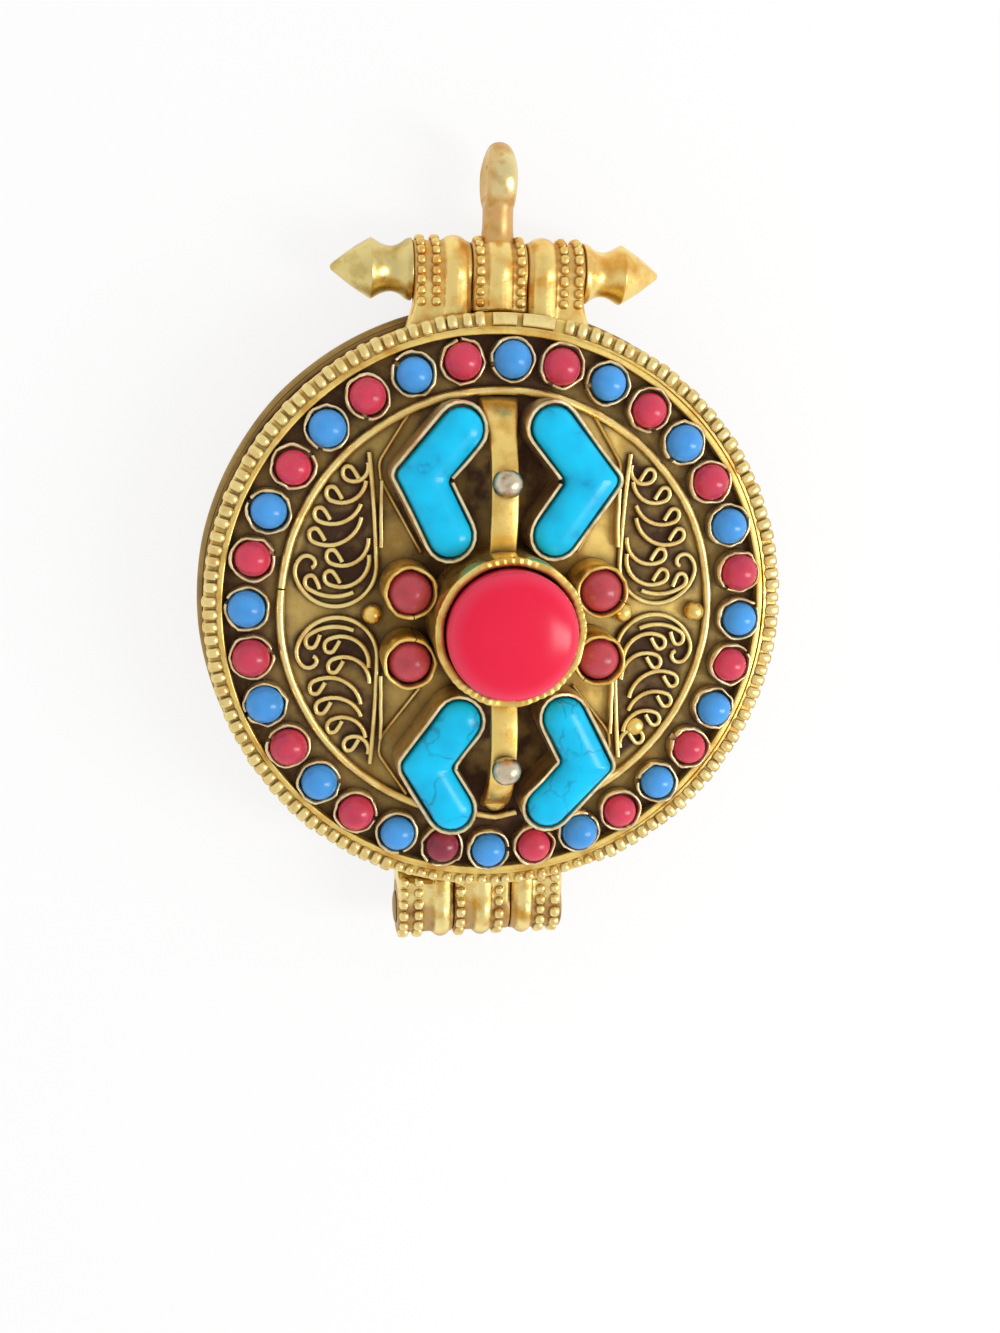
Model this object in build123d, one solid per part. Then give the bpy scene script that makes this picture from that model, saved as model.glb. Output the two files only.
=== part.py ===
from build123d import *
import math
import os

os.makedirs("parts", exist_ok=True)

# A ghau amulet box: a round hinged locket with a bail, set with turquoise, coral and glass.
# It lies on its back. The origin is the centre of the back plate's outer face.
# +X is right seen from the front, +Y points to the bail and +Z out of the decorated face.
# All sizes are in millimetres.

# Box shell
sheet = 0.7
lid_wall_radius = 28.6
lid_fit = 0.15
lid_lip = 2.3
tray_depth = 5.6
face_height = 11.0
mouth_wire_out = 0.75
mouth_wire_tall = 1.2

# Border of the face
rim_wire_thick = 1.8
rim_wire_overhang = 0.55
rim_wire_sink = 0.25
strip_thick = 0.55
strip_tall = 1.5
ring_wire_thick = 0.9
ring_wire_sink = 0.1
seat_gap = 0.05

# Small round stones of the border
rim_stone_radius = 1.85
rim_stone_side = 1.1
rim_stone_dome = 1.5
rim_bezel_wall = 0.25
rim_bezel_tall = 1.7
rim_bezel_floor = 0.3
rim_bezel_gap = 0.5
rim_bezel_clear = 0.25
rim_start_angle = 88.3

# Crossed figure at the middle
figure_shift = -0.5
setting_gap = 0.1
centre_stone_radius = 6.6
centre_stone_side = 3.3
centre_stone_dome = 3.5
centre_bezel_wall = 0.55
centre_bezel_fit = 0.25
centre_bezel_tall = 8.4
centre_bezel_floor = 4.5
side_stone_radius = 2.0
side_stone_side = 1.8
side_stone_dome = 1.2
side_bezel_wall = 0.35
side_bezel_fit = 0.15
side_bezel_tall = 5.7
side_bezel_floor = 3.6
side_stone_angle = 20.0

# Four bent stones
bent_stone_half = 2.15
bent_stone_tall = 2.8
bent_stone_round = 0.5
bent_corner_round = 0.9
bent_bezel_wall = 0.35
bent_bezel_fit = 0.2
bent_bezel_tall = 4.9
bent_bezel_floor = 2.4
bent_corner_height = 14.0
bent_corner_reach = 1.2
bent_end_angle = 75.4
bent_tail_angle = 56.5

# Bars, balls and granules
bar_wide = 2.5
bar_thick = 1.2
bar_root_height = 4.5
bar_crown_rise = 0.8
bar_ball_radius = 1.4
bar_ball_sink = 0.35
bar_ball_place = 14.1
bracket_wire_thick = 0.6
bracket_bow_share = 0.224
granule_radius = 1.05
granule_sink = 0.2
granule_drop = 0.2

# Filigree
filigree_tall = 0.6
filigree_clear = 0.27
partition_thick = 0.35
partition_tall = 1.0
partition_long = 6.6
partition_clear = 0.14

# Tubes with their pins
tube_radius = 3.0
tube_band_wide = 0.95
tube_band_tall = 0.45
tube_band_inset = 0.7
tube_band_pitch = 1.45
tube_bulge_tall = 0.35
tube_bulge_gap = 0.15
knuckle_gap = 0.15
tube_wall_gap = 0.1
axis_lift = 0.25
clasp_half = 8.45
clasp_middle = 5.4
hinge_half = 9.1
hinge_middle = 6.0
hinge_shift = -0.6
hinge_clear = 0.6
pin_radius = 1.2
pin_fit = 0.05
pin_head_radius = 1.9
pin_head_tall = 0.55
saddle_drop = 2.8
saddle_rise = 2.1
mouth_wire_cut = 0.8

# Finials of the clasp pin
finial_gap = 0.1
finial_flange = 3.2
finial_neck = 2.1
finial_ridge = 2.8
finial_neck_at = 1.9
finial_ridge_at = 3.9
finial_long = 7.85
finial_tip = 0.45
finial_flare_bow = 0.25
finial_swell_bow = 0.12
finial_socket = 4.2
thread_radius = 1.0
thread_end_gap = 0.2

# Bail
bail_hole_radius = 2.15
bail_thick = 1.3
bail_wide = 2.9
bail_outer_round = 0.8
bail_inner_round = 0.35
bail_stem_radius = 1.6
bail_stem_tall = 1.9

# Places worked out from the sizes above
tray_inner_radius = lid_wall_radius + lid_fit
tray_outer_radius = tray_inner_radius + sheet
face_low = face_height - sheet
axis_height = tray_depth + axis_lift
tube_reach = tube_radius + tube_band_tall
clasp_y = tray_outer_radius + tube_wall_gap + tube_reach
hinge_y = tray_outer_radius + hinge_clear + tube_reach
rim_wire_centre = lid_wall_radius + rim_wire_overhang - rim_wire_thick / 2
strip_outer = rim_wire_centre - rim_wire_thick / 2 - seat_gap
strip_inner = strip_outer - strip_thick
rim_bezel_inner = rim_stone_radius + seat_gap
rim_bezel_radius = rim_bezel_inner + rim_bezel_wall
rim_stone_ring = strip_inner - seat_gap - rim_bezel_radius
rim_bezel_reach = rim_stone_ring - rim_bezel_radius
ring_wire_outer = rim_bezel_reach - rim_bezel_clear
ring_wire_inner = ring_wire_outer - ring_wire_thick
rim_pairs = int(math.pi * rim_stone_ring / (2 * rim_bezel_radius + rim_bezel_gap))
centre_bezel_inner = centre_stone_radius + centre_bezel_fit
centre_bezel_radius = centre_bezel_inner + centre_bezel_wall
side_bezel_inner = side_stone_radius + side_bezel_fit
side_bezel_radius = side_bezel_inner + side_bezel_wall
side_distance = centre_bezel_radius + setting_gap + side_bezel_radius
side_x = side_distance * math.cos(math.radians(side_stone_angle))
side_y = side_distance * math.sin(math.radians(side_stone_angle))
filigree_in = side_x + side_bezel_radius + filigree_clear
partition_x = filigree_in - partition_clear - partition_thick / 2
bent_bezel_inner = bent_stone_half + bent_bezel_fit
bent_bezel_half = bent_bezel_inner + bent_bezel_wall
bent_end_distance = rim_bezel_reach - setting_gap - abs(figure_shift) - bent_bezel_half
bent_end_x = bent_end_distance * math.cos(math.radians(bent_end_angle))
bracket_half = bent_end_x - bent_bezel_half - setting_gap
bracket_bow = 2 * bracket_bow_share * bracket_half
finial_start = clasp_half + finial_gap
bail_outer_radius = bail_hole_radius + bail_thick
bail_y = clasp_y + tube_radius + tube_bulge_tall + bail_stem_tall + bail_outer_radius


def polar(distance, degrees):
    turn = math.radians(degrees)
    return (distance * math.cos(turn), distance * math.sin(turn))


def prism(outline, low, high):
    return extrude(Plane.XY.offset(low) * outline, amount=high - low)


def ring(outer, inner, low, high):
    return prism(Circle(outer) - Circle(inner), low, high)


def joined(pieces):
    return Compound([solid for piece in pieces for solid in piece.solids()])


def turned_on_x(profile, x, y, z):
    return Pos(x, y, z) * revolve(profile, Axis.X)


def four_ways(piece):
    left = mirror(piece, about=Plane.YZ)
    return {
        "upper_right": piece,
        "upper_left": left,
        "lower_right": mirror(piece, about=Plane.XZ),
        "lower_left": mirror(left, about=Plane.XZ),
    }


# Shells
def back_plate():
    return prism(Circle(tray_outer_radius), 0, sheet)


def back_wall():
    return ring(tray_outer_radius, tray_inner_radius, sheet, tray_depth)


def face_plate():
    return prism(Circle(lid_wall_radius), face_low, face_height)


def lid_wall():
    return ring(lid_wall_radius, lid_wall_radius - sheet, tray_depth - lid_lip, face_low)


def mouth_wire():
    low = tray_depth - mouth_wire_tall
    middle = tray_depth - mouth_wire_tall / 2
    inner_edge = Line((tray_outer_radius, 0, tray_depth), (tray_outer_radius, 0, low))
    outer_edge = ThreePointArc(
        (tray_outer_radius, 0, low),
        (tray_outer_radius + mouth_wire_out, 0, middle),
        (tray_outer_radius, 0, tray_depth),
    )
    wire = revolve(make_face([inner_edge, outer_edge]), Axis.Z)
    for half, shift, side in ((clasp_half, 0, 1), (hinge_half, hinge_shift, -1)):
        notch = Box(2 * (half + mouth_wire_cut), tray_outer_radius, 2 * face_height)
        wire -= Pos(shift, side * tray_outer_radius, 0) * notch
    return wire


# Border wires and stones
def wire_ring(centre, thick, sink):
    height = face_height + thick / 2 - sink
    wire = Pos(0, 0, height) * Torus(centre, thick / 2)
    below = prism(Circle(centre + thick), face_height - thick, face_height)
    return wire - below


def rim_wire():
    return wire_ring(rim_wire_centre, rim_wire_thick, rim_wire_sink)


def channel_strip():
    return ring(strip_outer, strip_inner, face_height, face_height + strip_tall)


def inner_ring_wire():
    centre = ring_wire_outer - ring_wire_thick / 2
    wire = wire_ring(centre, ring_wire_thick, ring_wire_sink)
    cutter = bent_outline(bent_bezel_half + seat_gap)
    for cut in four_ways(prism(cutter, 0, 2 * face_height)).values():
        wire -= Pos(0, figure_shift, 0) * cut
    return wire


def cup(radius, inner, tall, floor):
    return prism(Circle(radius), 0, tall) - prism(Circle(inner), floor, tall)


def cap_middle(radius, dome):
    # The point halfway along a round cap: its distance from the axis, and its height over the cap's rim.
    sphere = (radius**2 + dome**2) / (2 * dome)
    bend = math.atan2(radius, sphere - dome) / 2
    return sphere * math.sin(bend), dome - sphere + sphere * math.cos(bend)


def cabochon(radius, side, dome):
    out, up = cap_middle(radius, dome)
    base = Line((0, 0, 0), (radius, 0, 0))
    wall = Line((radius, 0, 0), (radius, 0, side))
    crown = ThreePointArc((radius, 0, side), (out, 0, side + up), (0, 0, side + dome))
    axis = Line((0, 0, side + dome), (0, 0, 0))
    return revolve(make_face([base, wall, crown, axis]), Axis.Z)


def rim_places(first):
    step = 360 / (2 * rim_pairs)
    return [polar(rim_stone_ring, rim_start_angle - step * place) for place in range(first, 2 * rim_pairs, 2)]


def rim_bezels():
    bezel = cup(rim_bezel_radius, rim_bezel_inner, rim_bezel_tall, rim_bezel_floor)
    return joined([Pos(x, y, face_height) * bezel for x, y in rim_places(0) + rim_places(1)])


def rim_stones(first):
    stone = cabochon(rim_stone_radius, rim_stone_side, rim_stone_dome)
    return joined([Pos(x, y, face_height + rim_bezel_floor) * stone for x, y in rim_places(first)])


# Crossed figure
def centre_bezel():
    bezel = cup(centre_bezel_radius, centre_bezel_inner, centre_bezel_tall, centre_bezel_floor)
    return Pos(0, figure_shift, face_height) * bezel


def centre_stone():
    stone = cabochon(centre_stone_radius, centre_stone_side, centre_stone_dome)
    return Pos(0, figure_shift, face_height + centre_bezel_floor) * stone


def side_places():
    return [(x, y + figure_shift) for x in (-side_x, side_x) for y in (-side_y, side_y)]


def side_bezels():
    bezel = cup(side_bezel_radius, side_bezel_inner, side_bezel_tall, side_bezel_floor)
    return joined([Pos(x, y, face_height) * bezel for x, y in side_places()])


def side_stones():
    stone = cabochon(side_stone_radius, side_stone_side, side_stone_dome)
    return joined([Pos(x, y, face_height + side_bezel_floor) * stone for x, y in side_places()])


def bent_outline(half):
    end = Vector(*polar(bent_end_distance, bent_end_angle))
    corner_x = partition_x - partition_thick / 2 - setting_gap - bent_corner_reach * bent_bezel_half
    corner = Vector(corner_x, bent_corner_height)
    tail = Vector(*polar(centre_bezel_radius + setting_gap + bent_bezel_half, bent_tail_angle))
    up = (end - corner).normalized()
    down = (tail - corner).normalized()
    up_side = Vector(up.Y, -up.X) * half
    down_side = Vector(-down.Y, down.X) * half
    inward = (up + down).normalized()
    reach = half / math.sqrt((1 - up.dot(down)) / 2)
    outer = corner - inward * reach
    inner = corner + inward * reach
    edges = [
        Line(outer, end + up_side),
        ThreePointArc(end + up_side, end + up * half, end - up_side),
        Line(end - up_side, inner),
        Line(inner, tail - down_side),
        ThreePointArc(tail - down_side, tail + down * half, tail + down_side),
        Line(tail + down_side, outer),
    ]
    face = make_face(edges)
    grown = half - bent_stone_half
    outer_vertex = face.vertices().sort_by_distance(outer)[0]
    face = fillet(outer_vertex, bent_corner_round + grown)
    inner_vertex = face.vertices().sort_by_distance(inner)[0]
    return fillet(inner_vertex, bent_corner_round - grown)


def bent_bezel():
    top = face_height + bent_bezel_tall
    body = prism(bent_outline(bent_bezel_half), face_height, top)
    pocket = prism(bent_outline(bent_bezel_inner), face_height + bent_bezel_floor, top)
    return body - pocket


def bent_stone():
    low = face_height + bent_bezel_floor
    high = low + bent_stone_tall
    stone = prism(bent_outline(bent_stone_half), low, high)
    return fillet(stone.faces().sort_by(Axis.Z)[-1].edges(), bent_stone_round)


# Bars over the figure with their balls
def bar(foot):
    root = centre_bezel_inner
    crown = bar_ball_place
    low = face_height
    root_high = low + bar_root_height
    crown_high = root_high + bar_crown_rise
    top = ThreePointArc((0, root, root_high), (0, crown, crown_high), (0, foot, low))
    under = ThreePointArc(
        (0, root, root_high - bar_thick),
        (0, crown, crown_high - bar_thick),
        (0, foot - bar_thick, low),
    )
    sides = [Line(under @ 0, top @ 0), Line(top @ 1, under @ 1)]
    strip = extrude(make_face([top, under] + sides), amount=bar_wide / 2, both=True)
    return strip - prism(Circle(centre_bezel_radius), 0, 2 * low)


def upper_bar():
    return Pos(0, figure_shift, 0) * bar(ring_wire_inner - setting_gap - figure_shift)


def lower_bar():
    foot = ring_wire_inner - bracket_room() + figure_shift
    return Pos(0, figure_shift, 0) * mirror(bar(foot), about=Plane.XZ)


def bracket_room():
    return bracket_wire_thick + bracket_bow + 2 * setting_gap


def bracket_wire():
    low = setting_gap + bracket_wire_thick / 2 - ring_wire_inner
    high = low + bracket_bow
    bow = ThreePointArc((-bracket_half, high), (0, low), (bracket_half, high))
    return prism(trace(bow, line_width=bracket_wire_thick), face_height, face_height + bracket_wire_thick)


def bar_balls():
    height = face_height + bar_root_height + bar_crown_rise + bar_ball_radius - bar_ball_sink
    upper = Pos(0, figure_shift + bar_ball_place, height) * Sphere(bar_ball_radius) - upper_bar()
    lower = Pos(0, figure_shift - bar_ball_place, height) * Sphere(bar_ball_radius) - lower_bar()
    return joined([upper, lower])


def granules():
    height = face_height + granule_radius - granule_sink
    ball = Pos(0, 0, height) * Sphere(granule_radius)
    grain = ball - prism(Circle(2 * granule_radius), 0, face_height)
    inner = filigree_in + granule_radius / 2
    outer = ring_wire_inner - granule_radius
    return joined([Pos(x, -granule_drop, 0) * grain for x in (-inner, inner, outer)])


# Filigree in one quarter of the face, as flat wire bent in arcs that all turn left
def ribbon(start, heading, arcs, wire):
    edges = []
    ends = []
    for side in (1, -1):
        turn = math.radians(heading)
        offset = side * wire / 2
        point = Vector(start[0] - offset * math.sin(turn), start[1] + offset * math.cos(turn))
        tangent = Vector(math.cos(turn), math.sin(turn))
        ends.append(point)
        for radius, sweep in arcs:
            arc = JernArc(point, tangent, radius - offset, sweep)
            point = arc @ 1
            tangent = arc % 1
            edges.append(arc)
        ends.append(point)
    edges.append(Line(ends[0], ends[2]))
    edges.append(Line(ends[1], ends[3]))
    return prism(make_face(edges), face_height, face_height + filigree_tall)


# The pattern grows and shrinks with the face, and one unit of it is 1 mm on the real face.
# Each scroll has its eye, the end of its tail, both from the inner edge of the filigree, and its tilt.
scroll_wire_share = 0.45
scroll_eye_share = 0.8
scroll_margin = 1.04
scroll_turn_angle = 110
scroll_shares = (1.0, 0.8, 0.6)
scrolls = [
    ((2.58, 13.75), (1.23, 13.7), 0),
    ((4.18, 11.7), (1.13, 12.2), 0),
    ((5.33, 9.65), (1.43, 10.3), 0),
    ((5.88, 7.6), (1.43, 8.7), 0),
    ((4.13, 5.55), (0.83, 6.9), 0),
    ((4.43, 3.5), (0.88, 4.9), 0),
    ((6.33, 3.0), (2.43, 1.95), 35),
]
outline_start = (0.78, 15.6)
outline_heading_angle = -96
outline_arcs = [(140, 4.5), (4.0, 81.5), (4.0, 85), (1.9, 60), (0.85, 110), (0.5, 100)]


def filigree_scale():
    # The first scroll keeps its distance from the ring wire when the face changes size.
    along, up = scrolls[0][0]
    reach = ring_wire_inner - scroll_margin
    square = along**2 + up**2
    half = filigree_in * along
    rest = filigree_in**2 - reach**2
    return (math.sqrt(half**2 - square * rest) - half) / square


def placed(point, scale):
    return (filigree_in + scale * point[0], scale * point[1])


def scroll(eye, tail, tilt, scale):
    eye_x, eye_y = placed(eye, scale)
    tail_x, tail_y = placed(tail, scale)
    radius = scale * scroll_eye_share
    start_x = eye_x + radius * math.sin(math.radians(tilt))
    start_y = eye_y - radius * math.cos(math.radians(tilt))
    chord = math.hypot(start_x - tail_x, start_y - tail_y)
    chord_angle = math.degrees(math.atan2(start_y - tail_y, start_x - tail_x))
    bend = tilt - chord_angle
    tail_arc = (chord / (2 * math.sin(math.radians(bend))), 2 * bend)
    eye_arcs = [(radius * share, scroll_turn_angle) for share in scroll_shares]
    return ribbon((tail_x, tail_y), chord_angle - bend, [tail_arc] + eye_arcs, scale * scroll_wire_share)


def filigree():
    scale = filigree_scale()
    wires = [scroll(eye, tail, tilt, scale) for eye, tail, tilt in scrolls]
    arcs = [(scale * radius, sweep) for radius, sweep in outline_arcs]
    wires.append(ribbon(placed(outline_start, scale), outline_heading_angle, arcs, scale * scroll_wire_share))
    return joined(wires)


def partitions():
    low = side_y + abs(figure_shift) + side_bezel_radius
    strip = Pos(partition_x, low + partition_long / 2, face_height + partition_tall / 2) * Box(
        partition_thick, partition_long, partition_tall
    )
    return joined(four_ways(strip).values())


# Tubes: each knuckle is a tube with bulges, and its beaded bands are rings on it
def arch(centre, wide, tall):
    return ThreePointArc(
        (centre - wide / 2, tube_radius),
        (centre, tube_radius + tall),
        (centre + wide / 2, tube_radius),
    )


def knuckle_bands(start, end, outer):
    if outer:
        last = end - tube_band_inset
        return [last - tube_band_pitch, last]
    return [start + tube_band_inset, end - tube_band_inset]


def bulge_span(start, end, outer):
    bands = knuckle_bands(start, end, outer)
    margin = tube_band_wide / 2 + tube_bulge_gap
    low = start + tube_bulge_gap if outer else bands[0] + margin
    high = bands[0] - margin if outer else bands[1] - margin
    return low, high


def knuckle_face(start, end, outer, bore):
    low, high = bulge_span(start, end, outer)
    bulge = arch((low + high) / 2, high - low, tube_bulge_tall)
    edges = [
        Line((start, bore), (start, tube_radius)),
        Line((start, tube_radius), bulge @ 0),
        bulge,
        Line(bulge @ 1, (end, tube_radius)),
        Line((end, tube_radius), (end, bore)),
        Line((end, bore), (start, bore)),
    ]
    return make_face(edges)


def band_rings(start, end, outer):
    rings = []
    for place in knuckle_bands(start, end, outer):
        crown = arch(place, tube_band_wide, tube_band_tall)
        rings.append(revolve(make_face([crown, Line(crown @ 1, crown @ 0)]), Axis.X))
    return rings


def knuckle_body(start, end, outer, bore):
    return revolve(knuckle_face(start, end, outer, bore), Axis.X)


def saddle(start, end, outer, x, y, low, high, wall):
    block = Pos(x + (start + end) / 2, y / 2, (low + high) / 2) * Box(end - start, y, high - low)
    block -= prism(Circle(wall), 0, face_height)
    tube = knuckle_body(start, end, outer, 0)
    for piece in [tube] + band_rings(start, end, outer):
        block -= Pos(x, y, axis_height) * piece
    return block.solids().sort_by(SortBy.VOLUME)[-1]


def knuckle_spans(half, middle):
    outer_start = middle / 2 + knuckle_gap
    return (outer_start, half, True), (-middle / 2, middle / 2, False)


def on_left(piece):
    return mirror(piece, about=Plane.YZ)


clasp_outer, clasp_mid = knuckle_spans(clasp_half, clasp_middle)
hinge_outer, hinge_mid = knuckle_spans(hinge_half, hinge_middle)
running_bore = pin_radius + pin_fit
lid_saddle_low = tray_depth + axis_lift
tray_saddle_low = axis_height - saddle_drop
saddle_high = axis_height + saddle_rise


def clasp_piece(piece):
    return Pos(0, clasp_y, axis_height) * piece


def hinge_piece(piece):
    return Pos(hinge_shift, -hinge_y, axis_height) * piece


def hinge_saddle(start, end, outer, x, low, wall):
    return mirror(saddle(start, end, outer, x, hinge_y, low, saddle_high, wall), about=Plane.XZ)


def clasp_lid_saddles():
    right = saddle(*clasp_outer, 0, clasp_y, lid_saddle_low, saddle_high, lid_wall_radius)
    return joined([on_left(right), right])


def clasp_tray_saddle():
    return saddle(*clasp_mid, 0, clasp_y, tray_saddle_low, saddle_high, tray_outer_radius)


def hinge_tray_saddles():
    right = hinge_saddle(*hinge_outer, hinge_shift, tray_saddle_low, tray_outer_radius)
    left = on_left(hinge_saddle(*hinge_outer, -hinge_shift, tray_saddle_low, tray_outer_radius))
    return joined([left, right])


def hinge_lid_saddle():
    return hinge_saddle(*hinge_mid, hinge_shift, lid_saddle_low, lid_wall_radius)


def both_sides(rings):
    return [on_left(piece) for piece in rings] + rings


def hinge_pin():
    half = hinge_half
    out, up = cap_middle(pin_head_radius, pin_head_tall)
    edges = [
        Line((half, 0), (half, pin_head_radius)),
        ThreePointArc((half, pin_head_radius), (half + up, out), (half + pin_head_tall, 0)),
        Line((half + pin_head_tall, 0), (half, 0)),
    ]
    head = revolve(make_face(edges), Axis.X)
    return hinge_piece(rod(-half, half, pin_radius) + head + on_left(head))


# Clasp pin with a fixed finial on the right and a screwed finial on the left
def finial_body(socket):
    start = finial_start
    neck = start + finial_neck_at
    ridge = start + finial_ridge_at
    tip = start + finial_long
    out, up = cap_middle(finial_tip, finial_tip)
    edges = [
        Line((start, 0), (start, finial_flange)),
        SagittaArc((start, finial_flange), (neck, finial_neck), -finial_flare_bow),
        SagittaArc((neck, finial_neck), (ridge, finial_ridge), -finial_swell_bow),
        Line((ridge, finial_ridge), (tip - finial_tip, finial_tip)),
        ThreePointArc((tip - finial_tip, finial_tip), (tip - finial_tip + up, out), (tip, 0)),
        Line((tip, 0), (start, 0)),
    ]
    body = revolve(make_face(edges), Axis.X)
    hole = Pos(start + finial_socket / 2, 0, 0) * Rot(0, 90, 0) * Cylinder(socket, finial_socket)
    return body - hole


def rod(start, end, radius):
    return Pos((start + end) / 2, 0, 0) * Rot(0, 90, 0) * Cylinder(radius, end - start)


def clasp_pin():
    shaft = rod(-clasp_half, finial_start + finial_socket, pin_radius)
    thread = rod(-finial_start - finial_socket + thread_end_gap, -clasp_half, thread_radius)
    return clasp_piece(shaft + thread)


def finial_fixed():
    return clasp_piece(finial_body(pin_radius))


def finial_nut():
    return clasp_piece(on_left(finial_body(thread_radius + pin_fit)))


# Bail: a ring of half-round section on a short stem
def bail():
    section = Pos(0, bail_hole_radius + bail_thick / 2) * Rectangle(bail_wide, bail_thick)
    section = fillet(section.vertices().group_by(Axis.Y)[-1], bail_outer_round)
    section = fillet(section.vertices().group_by(Axis.Y)[0], bail_inner_round)
    loop = turned_on_x(section, 0, bail_y, axis_height)
    stem = Rot(90, 0, 0) * Cylinder(bail_stem_radius, bail_y - clasp_y)
    stem = Pos(0, (clasp_y + bail_y) / 2, axis_height) * stem
    hole = Rot(0, 90, 0) * Cylinder(bail_hole_radius + bail_thick / 2, 2 * bail_wide)
    stem -= Pos(0, bail_y, axis_height) * hole
    ring_and_stem = loop + stem
    tube = knuckle_body(*clasp_mid, 0)
    for piece in [tube] + band_rings(*clasp_mid):
        ring_and_stem -= clasp_piece(piece)
    return ring_and_stem.solids().sort_by(SortBy.VOLUME)[-1]


nodes = {
    "back_plate": back_plate(),
    "back_wall": back_wall(),
    "mouth_wire": mouth_wire(),
    "face_plate": face_plate(),
    "lid_wall": lid_wall(),
    "rim_beaded_wire": rim_wire(),
    "channel_strip": channel_strip(),
    "inner_ring_wire": inner_ring_wire(),
    "rim_bezels": rim_bezels(),
    "rim_stones_blue": rim_stones(0),
    "rim_stones_red": rim_stones(1),
    "centre_bezel": centre_bezel(),
    "centre_stone": centre_stone(),
    "side_bezels": side_bezels(),
    "side_stones": side_stones(),
    "upper_bar": upper_bar(),
    "lower_bar": lower_bar(),
    "bar_balls": bar_balls(),
    "bracket_wire": bracket_wire(),
    "granules": granules(),
    "partitions": partitions(),
    "clasp_knuckle_mid": clasp_piece(knuckle_body(*clasp_mid, running_bore)),
    "clasp_knuckle_right": clasp_piece(knuckle_body(*clasp_outer, running_bore)),
    "clasp_knuckle_left": clasp_piece(on_left(knuckle_body(*clasp_outer, running_bore))),
    "clasp_bands_mid": joined([clasp_piece(band) for band in band_rings(*clasp_mid)]),
    "clasp_bands_outer": joined([clasp_piece(band) for band in both_sides(band_rings(*clasp_outer))]),
    "clasp_saddle_mid": clasp_tray_saddle(),
    "clasp_saddles_outer": clasp_lid_saddles(),
    "hinge_knuckle_mid": hinge_piece(knuckle_body(*hinge_mid, running_bore)),
    "hinge_knuckle_right": hinge_piece(knuckle_body(*hinge_outer, pin_radius)),
    "hinge_knuckle_left": hinge_piece(on_left(knuckle_body(*hinge_outer, pin_radius))),
    "hinge_bands_mid": joined([hinge_piece(band) for band in band_rings(*hinge_mid)]),
    "hinge_bands_outer": joined([hinge_piece(band) for band in both_sides(band_rings(*hinge_outer))]),
    "hinge_saddle_mid": hinge_lid_saddle(),
    "hinge_saddles_outer": hinge_tray_saddles(),
    "hinge_pin": hinge_pin(),
    "clasp_pin": clasp_pin(),
    "finial_fixed": finial_fixed(),
    "finial_nut": finial_nut(),
    "bail": bail(),
}
for quarter, wires in four_ways(filigree()).items():
    nodes["filigree_" + quarter] = wires
for quarter, bezel in four_ways(bent_bezel()).items():
    nodes["bent_bezel_" + quarter] = Pos(0, figure_shift, 0) * bezel
for quarter, stone in four_ways(bent_stone()).items():
    nodes["bent_stone_" + quarter] = Pos(0, figure_shift, 0) * stone

for node, shape in nodes.items():
    export_step(shape, f"parts/{node}.step")
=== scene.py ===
import math
import random

import bmesh
import bpy
from mathutils import Matrix, Vector


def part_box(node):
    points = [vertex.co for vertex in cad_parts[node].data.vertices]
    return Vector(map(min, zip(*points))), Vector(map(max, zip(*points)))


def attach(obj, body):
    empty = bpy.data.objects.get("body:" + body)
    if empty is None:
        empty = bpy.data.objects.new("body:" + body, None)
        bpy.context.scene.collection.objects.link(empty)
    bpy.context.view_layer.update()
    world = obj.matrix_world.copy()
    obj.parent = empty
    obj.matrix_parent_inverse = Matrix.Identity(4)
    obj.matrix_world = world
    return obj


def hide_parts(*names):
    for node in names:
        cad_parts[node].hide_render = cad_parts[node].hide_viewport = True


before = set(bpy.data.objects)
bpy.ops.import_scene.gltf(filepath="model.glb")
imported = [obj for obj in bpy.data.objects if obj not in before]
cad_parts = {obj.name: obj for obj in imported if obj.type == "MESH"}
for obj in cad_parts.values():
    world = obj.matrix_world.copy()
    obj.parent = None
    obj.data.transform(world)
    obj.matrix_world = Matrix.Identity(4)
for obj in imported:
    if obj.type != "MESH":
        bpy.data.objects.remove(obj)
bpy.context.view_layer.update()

bl_info = {
    "name": "Ghau Amulet Box",
    "version": (1, 0, 0),
    "blender": (4, 5, 0),
    "location": "View3D > Sidebar > Ghau Box",
    "description": "Dresses the frame of a round hinged amulet box with its metalwork and stones",
    "category": "Object",
}

# All places below are in millimetres in the frame's axes: +X right, +Y to the bail, +Z out of the face
MM = 0.001
TAU = 2 * math.pi
WELD = 2e-7

# Shells of the lid and the tray
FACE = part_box("face_plate")[1].z / MM
LID_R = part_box("face_plate")[1].x / MM
TRAY_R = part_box("back_plate")[1].x / MM
TRAY_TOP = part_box("back_wall")[1].z / MM
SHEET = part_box("back_plate")[1].z / MM
LID_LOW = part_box("lid_wall")[0].z / MM
GAUGE = 0.7
SKIN = 0.02
SEAT = FACE - 0.05
SHELL_STEPS, MOUTH_STEPS = 160, 110
TRAY_RINGS = (0, 9, 18, 25)
FACE_RINGS = (0, 6, 12, 17, 22, 25)
# The mouth wire is cut at both tubes: its two spans in degrees, and its bow outward and up
MOUTH_SPANS = ((-71.8, 73.6), (106.4, 249.4))
MOUTH_BOW = ((0.0, 0.0), (0.3, 0.12), (0.48, 0.36), (0.54, 0.62), (0.48, 0.9), (0.3, 1.14), (0.0, 1.2))
MOUTH_SUNK = 0.08

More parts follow.
